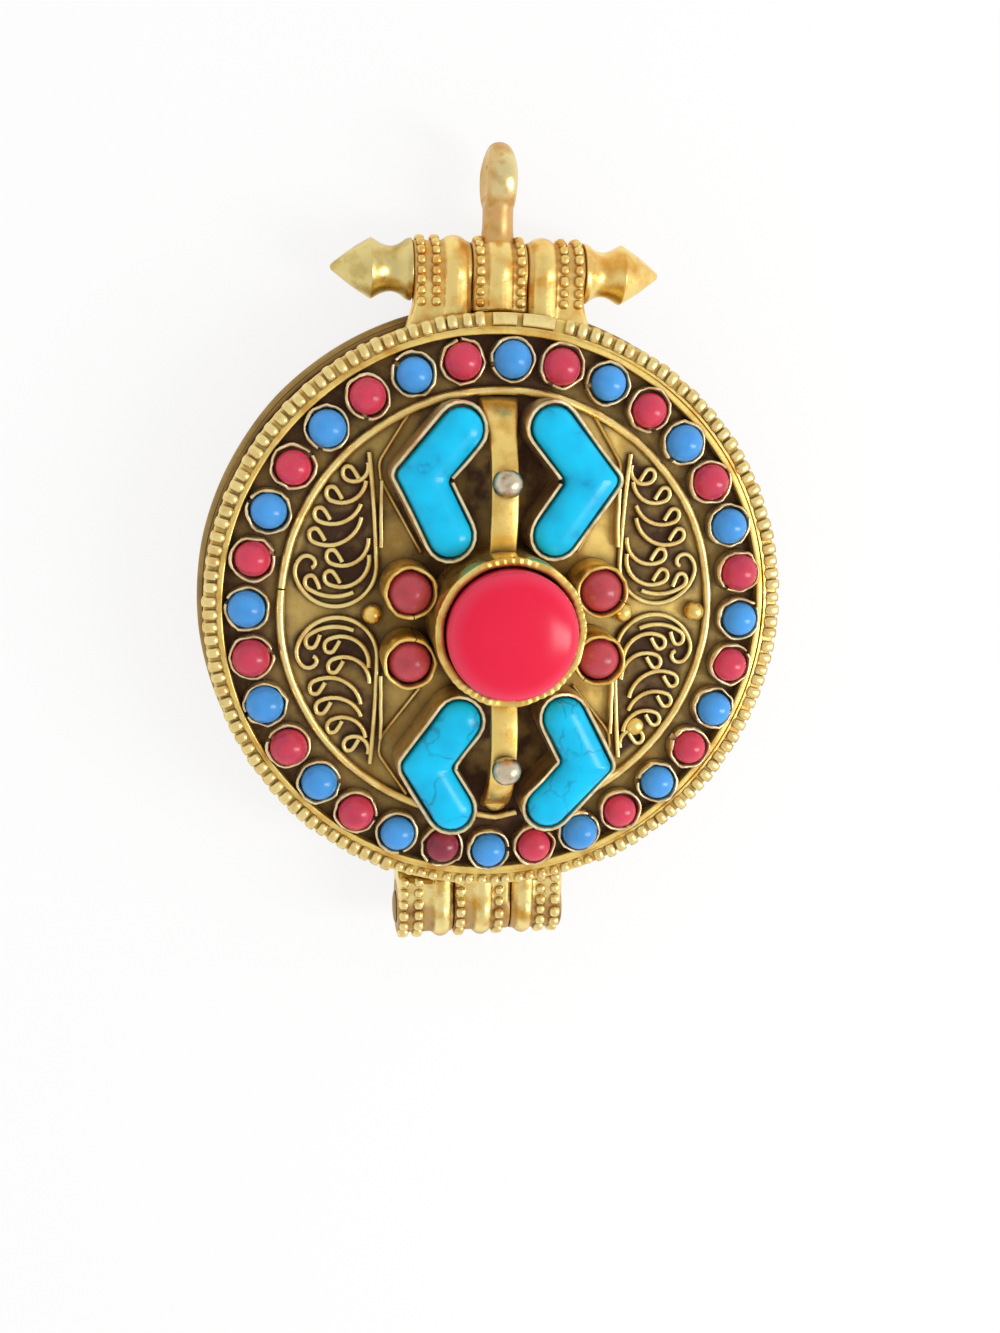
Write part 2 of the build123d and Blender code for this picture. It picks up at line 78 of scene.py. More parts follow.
# Border of the face
RIM_R = 28.4
RIM_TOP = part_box("rim_beaded_wire")[1].z / MM
RIM_PLAIN = ((-1.3, 1.0), (1.6, 4.7))
RIM_PLAIN_GAP = 0.45
GRAINS_BELOW = -26.4
STRIP_IN, STRIP_OUT = 26.95, 27.6
STRIP_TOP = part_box("channel_strip")[1].z / MM
STRIP_X = -0.25
STRIP_STEPS, ARC_STEPS = 180, 60
RING_R = 21.7
RING_STEP = 0.25
RING_JOINT = 173.6
RING_FOOT = 270.0
STONE_RING = 24.85
STONE_Y = -0.15
STONE_START = 88.3
STONE_STEP = 11.25
STONE_PAIRS = 16
CUP_FLOOR = 0.3
STONE_FLOOR = FACE + CUP_FLOOR
DARK_RED = 8
NONE_DARK = -1

# Middle figure
FIGURE_Y = -0.75
CENTRE_FLOOR = 15.5
NOTCH_STEPS = 336
SIDE_X, SIDE_Y = 9.397, 3.42
SIDE_FLOOR = 14.6
BAR_ROOT = (6.9, CENTRE_FLOOR)
BAR_CROWN = (14.1, CENTRE_FLOOR + 0.8)
BAR_HALF, BAR_THICK = 1.34, 1.15
# Each bar is the place of its foot, its spread there, whether it is the lower one and its shift
UPPER_BAR = (21.8, 0.6, False, -0.42)
LOWER_BAR = (19.9, 0.1, True, 0.0)
BAR_BOSS = (0.0, -19.6)
BALLS = ((-0.4, 13.2), (0.12, -15.0))
BALL_R = 1.4
BRACKET_HALF, BRACKET_Y, BRACKET_RISE = 2.25, -21.75, 0.45
GRAINS_X, GRAINS_Y = (-12.69, 12.69, 20.2), -0.2
SOLDER_BLOB = (14.6, -12.4)
PARTITION_X, PARTITION_LOW, PARTITION_LONG = 11.85, 6.45, 6.5
# Each frame wire is its far end, its near end and whether it is in the lower half
FRAME_WIRES = (((9.2, 19.3), (7.9, 5.9), False), ((9.2, 19.0), (7.9, 7.9), True))
# Middle line of each bent stone, from its far end over the corner to its near end, as if in the upper right
BENT_LINES = {
    "upper_right": ((4.25, 18.45), (8.3, 13.4), (4.7, 8.2)),
    "upper_left": ((4.65, 18.2), (8.4, 13.7), (5.6, 8.1)),
    "lower_right": ((4.75, 19.4), (8.75, 15.15), (6.15, 10.15)),
    "lower_left": ((5.1, 19.4), (7.75, 14.9), (4.4, 10.3)),
}
BENT_HALF = 2.08
BENT_ROUND = 0.9
BENT_FLOOR = 13.4
BEZEL_HALF = 2.7
BEZEL_NOTCH = 29

# Filigree: each scroll is its eye, the end of its tail and its tilt; arcs are a radius and a turn in degrees
QUARTERS = (("upper_right", 1, 1), ("upper_left", -1, 1), ("lower_right", 1, -1), ("lower_left", -1, -1))
FILIGREE_X = 12.167
SCROLLS = (
    ((2.58, 13.6), (0.98, 14.6), 25),
    ((4.18, 11.7), (1.13, 12.9), 25),
    ((5.33, 9.65), (1.6, 10.6), 25),
    ((5.88, 7.6), (1.6, 9.3), 25),
    ((4.13, 5.55), (0.83, 7.3), 25),
    ((4.43, 3.5), (0.88, 5.7), 25),
    ((6.33, 3.0), (2.43, 1.95), 35),
)
SCROLL_EYE = 0.8
CROOK_ARCS = [(0.8, 90), (0.5, 118), (6.0, 11)]
OUTLINE = ((0.78, 15.6), -96, [(140, 4.5), (4.0, 81.5), (4.0, 85), (1.9, 60), (0.85, 110), (0.5, 100)])

# Clasp and hinge tubes
AXIS_Z = 5.85
CLASP_Y = 33.0
HINGE_Y = -33.5
TUBE_R = 3.0
TUBE_LOW = 0.2
TUBE_STEPS = 72
PLAIN_R = TUBE_R - TUBE_LOW
BULGE_OUT = 0.36
BORE_R = 1.25
BAND_OUT = 0.43
WEB_REACH = 4.7
CLASP_REACH = 8.0
WEB_BORE = 1.7
WEB_INSET = 0.03
WALL_SUNK = 0.25
TRAY_WEB_LOW = 3.05
LID_WEB_LOW = AXIS_Z + 0.15
# Each knuckle is its start, its end and its bulge along X; bands are body, node, places along X and a seed
CLASP_OUTER = (2.79, 8.45, (3.15, 5.6))
CLASP_MIDDLE = (-2.71, 2.71, (-1.3, 1.3))
CLASP_FLARE, CLASP_INSET = 1.1, 0.05
CLASP_BANDS = (
    ("lid", "clasp_bands_outer", (-7.75, -6.3, 6.3, 7.75), 2),
    ("tray", "clasp_bands_mid", (-2.0, 2.0), 6),
)
HINGE_LEFT = (-9.7, -3.71, (-5.9, -4.0))
HINGE_MIDDLE = (-3.63, 2.43, (-1.5, 0.4))
HINGE_RIGHT = (2.51, 8.1, (3.05, 4.85))
HINGE_BANDS = (
    ("tray", "hinge_bands_outer", (-9.05, -7.5, 5.7, 7.25), 9),
    ("lid", "hinge_bands_mid", (-2.98, 1.18), 14),
)
# Places past the tube's end and radius; each finial corner is its place along X, its radius and its round
PIN_HEAD = ((0.0, 1.2), (0.0, 1.7), (0.1, 1.72), (0.2, 1.55), (0.28, 1.1), (0.32, 0.6), (0.33, 0.0))
FINIAL_CORNERS = [
    (8.5, 3.0, 0.15), (9.0, 2.9, 0.2), (9.7, 2.35, 0.6), (10.5, 2.1, 0.6), (11.4, 2.3, 0.5),
    (12.3, 2.84, 0.2), (12.5, 2.9, 0.04), (14.4, 1.76, 0.8), (16.1, 0.45, 0.3), (16.36, 0.22, 0.12),
    (16.4, 0.0, 0),
]
SOCKET_END = 12.75
THREAD_START, THREAD_END, THREAD_PITCH = -12.5, -8.5, 0.55
BAIL_Y = 41.7
BAIL_R, BAIL_THICK = 2.54, 0.88
BAIL_HALF, BAIL_TAPER = 1.5, 0.36
BAIL_STEPS = 64
BAIL_STEM = (34.8, 4.5)

# Kinds of node
# Mix has its colours at inputs 6 and 7 and output 2, and its vectors at inputs 4 and 5 and output 1
# Random Value has its numbers at inputs 2 and 3 and output 1, and Compare its whole numbers at inputs 2 and 3
MATH, VECTOR = "ShaderNodeMath", "ShaderNodeVectorMath"
SPLIT, JOIN = "ShaderNodeSeparateXYZ", "ShaderNodeCombineXYZ"
RANGE, MIX, NOISE = "ShaderNodeMapRange", "ShaderNodeMix", "ShaderNodeTexNoise"
SURFACE, BUMP, OUTPUT = "ShaderNodeBsdfPrincipled", "ShaderNodeBump", "ShaderNodeOutputMaterial"
RANDOM, COPIES = "FunctionNodeRandomValue", "GeometryNodeInstanceOnPoints"
SPOT, PLACED = "GeometryNodeInputPosition", "GeometryNodeSetPosition"

# Floor, light and camera
FLOOR_Z, FLOOR_R = -0.3, 3000
SKY_FADE = (0.1, 0.9, 0.94, 0.72)
LAMP_PLACE, LAMP_AIM = Vector((0.245, -0.06, 0.245)), Vector((0, 0, 0.012))
LAMP_SIZE, LAMP_POWER = (0.08, 0.2), 0.46
CAMERA_PLACE = Vector((-23.0, 25.7, 147.6)) * MM
CAMERA_AHEAD, CAMERA_RIGHT = Vector((0.164, -0.222, -0.961)), Vector((0.986, 0.021, 0.163))
SENSOR = 36.0
FOCAL_SHARE = 1400 / 1333


def linear(code):
    """Turns an sRGB hex colour into linear red, green, blue and alpha."""
    parts = [int(code[i : i + 2], 16) / 255 for i in (1, 3, 5)]
    return tuple(c / 12.92 if c <= 0.04045 else ((c + 0.055) / 1.055) ** 2.4 for c in parts) + (1.0,)


def length(name, size, text):
    """A length property whose default is given in millimetres."""
    return bpy.props.FloatProperty(
        name=name, description=text, default=size * MM, min=0.0, unit="LENGTH", precision=5
    )


def tally(name, number, text):
    """A property for a number of beads."""
    return bpy.props.IntProperty(name=name, description=text, default=number, min=3)


def colour(name, code, text):
    """A colour property whose default is an sRGB hex value."""
    return bpy.props.FloatVectorProperty(
        name=name, description=text, default=linear(code), size=4, min=0.0, max=1.0, subtype="COLOR"
    )


class GhauSizes(bpy.types.PropertyGroup):
    """Sizes of the metalwork and stones."""

    rim_beads: tally("Rim beads", 140, "Beads around the edge of the face")
    rim_bead_deep: length("Rim bead depth", 1.62, "Bead size across the rim wire")
    rim_bead_wide: length("Rim bead width", 1.16, "Bead size along the rim wire")
    rim_bead_tall: length("Rim bead height", 1.6, "Bead size out of the face")
    rim_grain: length("Rim grain", 1.16, "Diameter of the round grains in the lower part of the rim")
    rim_cup_radius: length("Rim cup radius", 2.22, "Outer radius of the small bezels")
    rim_cup_wall: length("Rim cup wall", 0.3, "Strip thickness of the small bezels")
    rim_cup_tall: length("Rim cup height", 1.62, "Height of the small bezels over the face")
    rim_stone_radius: length("Rim stone radius", 1.87, "Radius of the small stones")
    rim_stone_side: length("Rim stone side", 1.0, "Height of the small stones under their dome")
    rim_stone_dome: length("Rim stone dome", 1.75, "Height of the dome of the small stones")
    side_cup_radius: length("Side cup radius", 2.6, "Outer radius of the four middle bezels")
    side_cup_wall: length("Side cup wall", 0.38, "Strip thickness of the four middle bezels")
    side_cup_tall: length("Side cup height", 5.62, "Height of the four middle bezels over the face")
    side_stone_radius: length("Side stone radius", 2.18, "Radius of the four middle stones")
    side_stone_side: length("Side stone side", 0.7, "Height of the four middle stones under their dome")
    side_stone_dome: length("Side stone dome", 2.2, "Height of the dome of the four middle stones")
    wire: length("Filigree wire", 0.5, "Width of the filigree wire")
    wire_tall: length("Filigree wire height", 0.58, "Height of the filigree wire")
    clasp_beads: tally("Clasp beads", 18, "Beads around each band of the clasp tube")
    clasp_bead: length("Clasp bead", 1.02, "Diameter of the beads of the clasp tube")
    hinge_beads: tally("Hinge beads", 14, "Beads around each band of the hinge tube")
    hinge_bead: length("Hinge bead", 1.24, "Diameter of the beads of the hinge tube")
    cast_grain: length("Casting grain", 0.13, "Cell of the mesh that joins cast pieces")
    bail_grain: length("Bail grain", 0.11, "Cell of the mesh that joins the bail's loop and stem")


class GhauColours(bpy.types.PropertyGroup):
    """Colours of the metals and stones."""

    gilt: colour("Gilt", "#FBDA80", "Bright gilding on raised metal")
    gilt_deep: colour("Gilt, deep", "#D8A448", "Thin gilding between the bright places")
    patina: colour("Patina", "#452812", "Brown tarnish in the hollows")
    warm: colour("Warm gilt", "#FDE08C", "Gilding of the clasp tube")
    warm_deep: colour("Warm gilt, deep", "#E8AA4C", "Thin gilding of the clasp tube")
    warm_stain: colour("Warm stain", "#AE6A1E", "Orange brown stain in the clasp's hollows")
    olive: colour("Olive gilt", "#E4CF8A", "Gilding of the screwed finial")
    pale: colour("Pale brass", "#DACAAE", "Rubbed brass with little gilding left")
    turquoise: colour("Turquoise", "#00C9F8", "Bent stones")
    turquoise_deep: colour("Turquoise, deep", "#02AEE0", "Clouds in the bent stones")
    vein: colour("Turquoise vein", "#066C92", "Thin veins of the bent stones")
    blue: colour("Blue stone", "#48A4F0", "Blue stones of the border")
    red: colour("Red stone", "#E03C58", "Red stones of the border")
    plum: colour("Plum stone", "#86283C", "Dark places in the red stones")
    coral: colour("Coral", "#EC143E", "Large middle stone")
    # Also the painted pale sheen towards the coral's rim
    coral_cloud_and_sheen: colour("Coral, pale", "#F84E70", "Rim and clouds of the large middle stone")
    dull_red: colour("Dull red", "#CE4652", "Four middle stones")
    floor: colour("Floor", "#FBFBFA", "Floor under the box")


# Materials
def node(tree, kind, inputs=(), out=0, **settings):
    """Adds a node with its settings and inputs, by name or in order; gives one output, or all for None."""
    made = tree.nodes.new(kind)
    for name, value in settings.items():
        setattr(made, name, value)
    for socket, value in inputs.items() if isinstance(inputs, dict) else enumerate(inputs):
        for part in value if isinstance(value, list) else [value]:
            if isinstance(part, bpy.types.NodeSocket):
                tree.links.new(part, made.inputs[socket])
            else:
                made.inputs[socket].default_value = part
    return made.outputs if out is None else made.outputs[out]


def per_mm(size):
    """Texture scale for a pattern of that size in millimetres on Object coordinates."""
    return 1 / (size * MM)


def new_material():
    """An empty material, its tree and its Object coordinates."""
    made = bpy.data.materials.new("new")
    made.use_nodes = True
    made.node_tree.nodes.clear()
    return made, made.node_tree, node(made.node_tree, "ShaderNodeTexCoord", out="Object")


def soft_spots(tree, *spots):
    """The strongest of several spots. A spot is soft steps that multiply.

    A step has a length, two limits for it in millimetres, and the values at those limits.
    """
    worst = 0.0
    for steps in spots:
        share = 1.0
        for value, low, high, start, end in steps:
            limits = (value, low * MM, high * MM, start, end)
            step = node(tree, RANGE, limits, interpolation_type="SMOOTHSTEP")
            share = node(tree, MATH, (share, step), operation="MULTIPLY")
        worst = node(tree, MATH, (worst, share), operation="MAXIMUM")
    return worst


def metal(bright, deep, stain, reach, share, rough, clouds, tarnish=None):
    """Gilded brass: bright and thin gilding in clouds, stain in hollows within reach, and more by tarnish and
    painted shade.
    """
    made, tree, place = new_material()
    broad = node(tree, NOISE, {"Vector": place, "Scale": per_mm(clouds), "Detail": 4.0}, "Fac")
    # Real polishing marks are finer, but would not show, so they are drawn as coarse as this
    fine = node(tree, NOISE, {"Vector": place, "Scale": per_mm(0.35), "Detail": 3.0}, "Fac")
    hollow = node(tree, "ShaderNodeAmbientOcclusion", {"Distance": reach * MM}, "AO", samples=6)
    depth = node(tree, RANGE, (hollow, 0.2, 0.85, 1.0, 0.0))
    patchy = node(tree, RANGE, (broad, 0.3, 0.7, 0.45, 1.25))
    stained = node(tree, MATH, (depth, patchy), operation="MULTIPLY")
    # The tarnish functions also paint shade: on the face, the tray's wall, the bail's loop and the hinge tube
    more = tarnish(tree, place, patchy) if tarnish else 0.0
    amount = node(tree, MATH, (stained, share, more), operation="MULTIPLY_ADD", use_clamp=True)
    gilding = node(tree, RANGE, (broad, 0.3, 0.54))
    body = node(tree, MIX, {0: gilding, 6: deep, 7: bright}, 2, data_type="RGBA")
    whole = node(tree, MIX, {0: amount, 6: body, 7: stain}, 2, data_type="RGBA")
    bare = node(tree, MATH, (amount, -0.75, 1.0), operation="MULTIPLY_ADD")
    worn = node(tree, RANGE, (fine, 0.3, 0.7, *rough))
    dull = node(tree, MATH, (amount, 0.3, worn), operation="MULTIPLY_ADD")
    relief = node(tree, MATH, (broad, 3.0, fine), operation="MULTIPLY_ADD")
    bump = node(tree, BUMP, {"Strength": 0.3, "Distance": 0.03 * MM, "Height": relief})
    shader = node(tree, SURFACE, {"Base Color": whole, "Metallic": bare, "Roughness": dull, "Normal": bump})
    node(tree, OUTPUT, {"Surface": shader}, None)
    return made


def stone(body, cloud, size, rough, veil, gloss=0.4, rim=None):
    """A polished opaque stone with soft clouds and, when given a rim, a painted pale sheen towards it; a tone
    attribute darkens single stones.
    """
    made, tree, place = new_material()
    broad = node(tree, NOISE, {"Vector": place, "Scale": per_mm(size), "Detail": 5.0}, "Fac")
    fine = node(tree, NOISE, {"Vector": place, "Scale": per_mm(0.4), "Detail": 2.0}, "Fac")
    tone = node(tree, "ShaderNodeAttribute", (), "Fac", attribute_name="tone")
    soft = node(tree, RANGE, (broad, 0.42, 0.75, 0.0, veil))
    amount = node(tree, MATH, (soft, tone), operation="ADD", use_clamp=True)
    # Painted sheen: the cloud colour grows towards the rim, in place of the glare on the stone's shoulder
    if rim:
        away = node(tree, VECTOR, (place, (1, 1, 0), (0, -FIGURE_Y * MM, 0)), operation="MULTIPLY_ADD")
        reach = node(tree, VECTOR, (away,), "Value", operation="LENGTH")
        edge = soft_spots(tree, [(reach, *rim)])
        amount = node(tree, MATH, (amount, edge), operation="ADD", use_clamp=True)
    whole = node(tree, MIX, {0: amount, 6: body, 7: cloud}, 2, data_type="RGBA")
    polish = node(tree, RANGE, (fine, 0.3, 0.7, *rough))
    bump = node(tree, BUMP, {"Strength": 0.15, "Distance": 0.03 * MM, "Height": broad})
    light = {"IOR": 1.55, "Specular IOR Level": gloss, "Normal": bump}
    shader = node(tree, SURFACE, {"Base Color": whole, "Roughness": polish, **light})
    node(tree, OUTPUT, {"Surface": shader}, None)
    return made


def low_places(y, depth, shade):
    """Stain on the plain parts of a tube along X, from which the bulges stand out, and painted shade on its
    far side.
    """

    def stained(tree, place, patchy):
        away = node(tree, VECTOR, (place, (0, 1, 1), (0, -y * MM, -AXIS_Z * MM)), operation="MULTIPLY_ADD")
        reach = node(tree, VECTOR, (away,), "Value", operation="LENGTH")
        low = soft_spots(tree, [(reach, 2.8, 3.2, depth, 0.0)])
        patches = node(tree, MATH, (low, patchy), operation="MULTIPLY")
        # Painted shade on the tube's far side, as strong as shade
        far = math.copysign(1.0, y)
        under = soft_spots(tree, [(node(tree, SPLIT, (away,), "Y"), far * 1.6, far * 3.2, 0.0, shade)])
        return node(tree, MATH, (patches, under), operation="MAXIMUM")

    return stained


def face_shade_and_tarnish(tree, place, patchy):
    """Where the face is darker: painted shade beside the bars and over the left side, away from the lamp;
    brown under the scrolls, and darker in the stones' channel.
    """
    x, y, z = node(tree, SPLIT, (place,), None)
    flat = node(tree, VECTOR, (place, (1, 1, 0)), operation="MULTIPLY")
    reach = node(tree, VECTOR, (flat,), "Value", operation="LENGTH")
    side = node(tree, MATH, (x,), operation="ABSOLUTE")
    along = node(tree, MATH, (y,), operation="ABSOLUTE")
    # Painted shade beside the bars, between them and the bent stones
    bars = [(side, 3.0, 6.0, 1.0, 0.0), (along, 5.0, 8.0, 0.0, 0.95)]
    scrolls = [(side, 11.6, 13.4, 0.0, 1.0), (reach, 20.0, 21.4, 1.0, 0.0), (along, 0.6, 3.4, 0.0, 0.92)]
    channel = [(reach, 22.0, 22.5, 0.0, 0.2)]
    # Painted shade over the left side, which lies away from the lamp
    shaded = [(x, -13.0, 3.0, 0.36, 0.0)]
    worst = soft_spots(tree, bars, scrolls, channel, shaded)
    patches = node(tree, MATH, (worst, patchy), operation="MULTIPLY")
    outside = soft_spots(tree, [(z, FACE - 0.5, FACE - 0.2, 0.0, 1.0)])
    return node(tree, MATH, (patches, outside), operation="MULTIPLY")


def tray_wall_shade(tree, place, patchy):
    """Painted shade on the tray's wall, darker towards its mouth, where the lid's rim overhangs it."""
    painted_shade = soft_spots(tree, [(node(tree, SPLIT, (place,), "Z"), 1.0, 4.6, 0.0, 0.45)])
    return node(tree, MATH, (painted_shade, patchy), operation="MULTIPLY")


def stem_stain_and_loop_shade(tree, place, patchy):
    """Orange stain left on the bail's stem, under the rubbed loop, and painted shade over the loop's top and
    down its left side, away from the lamp.
    """
    x, y, _ = node(tree, SPLIT, (place,), None)
    low = soft_spots(tree, [(y, 38.4, 41.0, 0.6, 0.0)])
    stem = node(tree, MATH, (low, patchy), operation="MULTIPLY")
    # Painted shade over the top of the loop and down its left side
    edges = soft_spots(tree, [(y, 43.4, 44.9, 0.0, 0.6)], [(x, -1.5, -0.5, 0.5, 0.0)])
    return node(tree, MATH, (stem, edges), operation="MAXIMUM")


def fire_gilt_brass(c):
    """Hand-worked brass under worn fire gilding: satin yellow with brown tarnish in the corners."""
    return metal(c.gilt, c.gilt_deep, c.patina, 1.3, 1.0, (0.26, 0.42), 2.5)


def shaded_tarnished_gilt_sheet(c):
    """The face sheet behind the settings: thin gilding that has gone brown and rubbed in patches, with
    painted shade beside the bars and on its left side.
    """
    return metal(linear("#F2D27C"), linear("#B48F4A"), c.patina, 2.4, 1.2, (0.36, 0.55), 3.0, face_shade_and_tarnish)


def shaded_tarnished_brass_sheet(c):
    """The sheet of the tray, which hands rub less: brown brass with thin gilding left in patches, and painted
    shade on its wall towards the mouth.
    """
    return metal(linear("#D8B46C"), linear("#947640"), c.patina, 1.6, 1.0, (0.34, 0.52), 4.0, tray_wall_shade)


def rubbed_gilt_wire(c):
    """Drawn gilt wire and strip, rubbed bright where hands reach it."""
    return metal(linear("#FBE39A"), linear("#E8C27A"), c.patina, 0.8, 0.8, (0.26, 0.4), 1.6)


def annealed_brass_strip(c):
    """Thin annealed brass strip with rosy, little polished gilding."""
    return metal(linear("#F8E3B6"), linear("#DCB880"), c.patina, 0.8, 0.6, (0.28, 0.42), 1.2)


def thick_gilt_casting(c):
    """Satin cast brass under thick, orange gilding."""
    return metal(c.warm, c.warm_deep, c.warm_stain, 1.2, 0.9, (0.26, 0.4), 2.2)


def thick_gilt_tube(c):
    """The clasp tube: the same gilding, orange where it lies low and rubbed pale on the bulges."""
    stain = low_places(CLASP_Y, 0.35, 0.0)
    return metal(c.warm, c.warm_deep, c.warm_stain, 1.2, 0.55, (0.26, 0.4), 2.2, stain)


def fire_gilt_tube(c):
    """The hinge tube: worn gilding, brown where it lies low and rubbed bright on the bulges, with painted
    shade on its far side.
    """
    # This stain also paints shade on the hinge tube's far side
    stain = low_places(HINGE_Y, 0.7, 0.6)
    return metal(linear("#FDE69A"), c.gilt_deep, linear("#8A5220"), 1.2, 0.6, (0.24, 0.38), 2.2, stain)


def thin_gilt_turning(c):
    """Turned brass with thin, greenish gilding."""
    return metal(c.olive, linear("#B89A4C"), c.warm_stain, 1.2, 0.8, (0.26, 0.4), 2.2)


def rubbed_bare_brass(c):
    """Brass rubbed nearly bare, greyer and paler than the gilding."""
    return metal(c.pale, linear("#94805C"), c.patina, 1.0, 0.9, (0.28, 0.42), 1.0)


def rubbed_gilt_bail(c):
    """The bail's metal: pale and rubbed on the loop, orange gilding left on the stem, and painted shade over
    the loop's top and left side.
    """
    stain = linear("#CC8220")
    return metal(linear("#F0DCA0"), linear("#CFA45A"), stain, 2.2, 0.7, (0.2, 0.32), 1.8, stem_stain_and_loop_shade)


def fire_polished_blue_paste(c):
    """Opaque blue glass paste, moulded and fire polished: an even blue with a soft glare."""
    return stone(c.blue, linear("#3680C8"), 1.6, (0.2, 0.28), 0.4)


def fire_polished_red_paste(c):
    """Opaque red glass paste, a little uneven in colour."""
    return stone(c.red, c.plum, 1.8, (0.2, 0.28), 0.35)


def polished_dyed_coral(c):
    """Dyed and polished coral: a strong even red with pale clouds, a broad glare and a painted pale sheen
    towards its rim.
    """
    return stone(c.coral, c.coral_cloud_and_sheen, 6.0, (0.22, 0.25), 0.06, 0.28, (4.6, 6.3, 0.0, 0.4))


def tumbled_red_stone(c):
    """Dull brick-red stone with little polish."""
    return stone(c.dull_red, linear("#98363E"), 1.7, (0.22, 0.32), 0.5)


def polished_turquoise(c):
    """Polished turquoise: clouded sky blue with thin dark veins that lie a hair below the surface."""
    made, tree, place = new_material()
    broad = node(tree, NOISE, {"Vector": place, "Scale": per_mm(3.2), "Detail": 5.0}, "Fac")
    bend = node(tree, NOISE, {"Vector": place, "Scale": per_mm(2.4), "Detail": 3.0}, None)
    shifted = node(tree, VECTOR, (bend["Color"], (3.0 * MM,) * 3, place), operation="MULTIPLY_ADD")
    cells = {"Vector": shifted, "Scale": per_mm(4.2)}
    cracks = node(tree, "ShaderNodeTexVoronoi", cells, "Distance", feature="DISTANCE_TO_EDGE")
    line = node(tree, RANGE, (cracks, 0.0, 0.05, 1.0, 0.0))
    lower = node(tree, RANGE, (node(tree, SPLIT, (place,), "Y"), -9 * MM, 9 * MM, 0.1, -0.08))
    patches = node(tree, MATH, (broad, lower), operation="ADD")
    some = node(tree, RANGE, (patches, 0.48, 0.68, 0.0, 0.6))
    veined = node(tree, MATH, (line, some), operation="MULTIPLY")
    clouded = node(tree, RANGE, (broad, 0.42, 0.7, 0.0, 0.8))
    body = node(tree, MIX, {0: clouded, 6: c.turquoise, 7: c.turquoise_deep}, 2, data_type="RGBA")
    whole = node(tree, MIX, {0: veined, 6: body, 7: c.vein}, 2, data_type="RGBA")
    polish = node(tree, RANGE, (bend["Fac"], 0.3, 0.7, 0.18, 0.28))
    bump = node(tree, BUMP, {"Strength": 0.4, "Distance": 0.04 * MM, "Height": veined}, invert=True)
    light = {"IOR": 1.61, "Specular IOR Level": 0.22, "Normal": bump}
    shader = node(tree, SURFACE, {"Base Color": whole, "Roughness": polish, **light})
    node(tree, OUTPUT, {"Surface": shader}, None)
    return made


def studio_board(c):
    """Matt white board with a faint paper tooth; the camera sees it lifted to white, under a soft shadow."""
    made, tree, place = new_material()
    # The tooth of real board is too fine to show, so it is drawn coarser
    tooth = node(tree, NOISE, {"Vector": place, "Scale": per_mm(1.5), "Detail": 2.0}, "Fac")
    bump = node(tree, BUMP, {"Strength": 0.02, "Distance": 0.02 * MM, "Height": tooth})
    board = node(tree, SURFACE, {"Base Color": c.floor, "Roughness": 0.9, "Normal": bump})
    white = node(tree, "ShaderNodeEmission", {"Color": (1, 1, 1, 1), "Strength": 1.0})
    ray = node(tree, "ShaderNodeLightPath", (), None)
    seen = node(tree, MATH, (ray["Is Camera Ray"], ray["Is Glossy Ray"]), operation="MAXIMUM")
    through = node(tree, MATH, (seen, ray["Is Transmission Ray"]), operation="MAXIMUM")
    lift = node(tree, MATH, (through, 0.8), operation="MULTIPLY")
    mixed = node(tree, "ShaderNodeMixShader", (lift, board, white))
    node(tree, OUTPUT, {"Surface": mixed}, None)
    return made


def finish(maker):
    """The material that a maker function gives, made once and named after it."""
    name = maker.__name__
    if name not in bpy.data.materials:
        maker(bpy.context.scene.ghau_colours).name = name
    return bpy.data.materials[name]


# Shapes
def spaced(low, high, count):
    """Evenly spaced values from low to high, with count steps between them."""
    return [low + (high - low) * i / count for i in range(count + 1)]


def around(count):
    """Evenly spaced angles over a full turn."""
    return [TAU * i / count for i in range(count)]


def wavy(seed, waves, size):
    """A smooth wobble over a full turn: a few waves with set phases, at most size high."""
    draw = random.Random(seed)
    parts = [(n, draw.uniform(0.4, 1.0), draw.uniform(0, TAU)) for n in waves]
    total = sum(share for _, share, _ in parts)
    return lambda turn: size * sum(share * math.sin(n * turn + phase) for n, share, phase in parts) / total


def softened(corners, closed, steps=4):
    """Rounds the corners of an outline; each corner is two places and the size of its round."""
    result = []
    last = len(corners) - 1
    for i, (a, b, size) in enumerate(corners):
        here = Vector((a, b))
        if size == 0 or (not closed and i in (0, last)):
            result.append((a, b))
            continue
        before = Vector(corners[i - 1][:2]) - here
        after = Vector(corners[(i + 1) % len(corners)][:2]) - here
        start = here + before.normalized() * min(size, before.length / 2)
        end = here + after.normalized() * min(size, after.length / 2)
        for t in spaced(0.0, 1.0, steps):
            result.append(tuple(start * (1 - t) ** 2 + here * 2 * t * (1 - t) + end * t * t))
    return result


def skin(rows, round_rows=False, round_points=False, ends=False):
    """Faces between rows of points, which may join up along the rows, across them, or have end faces."""
    count = len(rows[0])
    points = [tuple(point) for row in rows for point in row]
    faces = []
    for i in range(len(rows) - (0 if round_rows else 1)):
        a = i * count
        b = (i + 1) % len(rows) * count
        for j in range(count - (0 if round_points else 1)):
            k = (j + 1) % count
            faces.append((a + j, a + k, b + k, b + j))
    if ends:
        top = (len(rows) - 1) * count
        faces.append(tuple(range(count - 1, -1, -1)))
        faces.append(tuple(top + j for j in range(count)))
    return points, faces


def turned_z(profile, closed, steps, x=0.0, y=0.0, wobble=None):
    """A turned shape about an upright axis; the profile is radius and height, and wobble shifts it."""
    rows = []
    for turn in around(steps):
        row = []
        for radius, height in profile:
            out, up = wobble(radius, height, turn) if wobble else (0.0, 0.0)
            spread = radius + out
            row.append((x + spread * math.cos(turn), y + spread * math.sin(turn), height + up))
        rows.append(row)
    return skin(rows, round_rows=True, round_points=closed)


def about_x(profile, y, turn):
    """A profile of places along X and radius, turned about an axis along X."""
    return [(x, y + radius * math.cos(turn), AXIS_Z + radius * math.sin(turn)) for x, radius in profile]


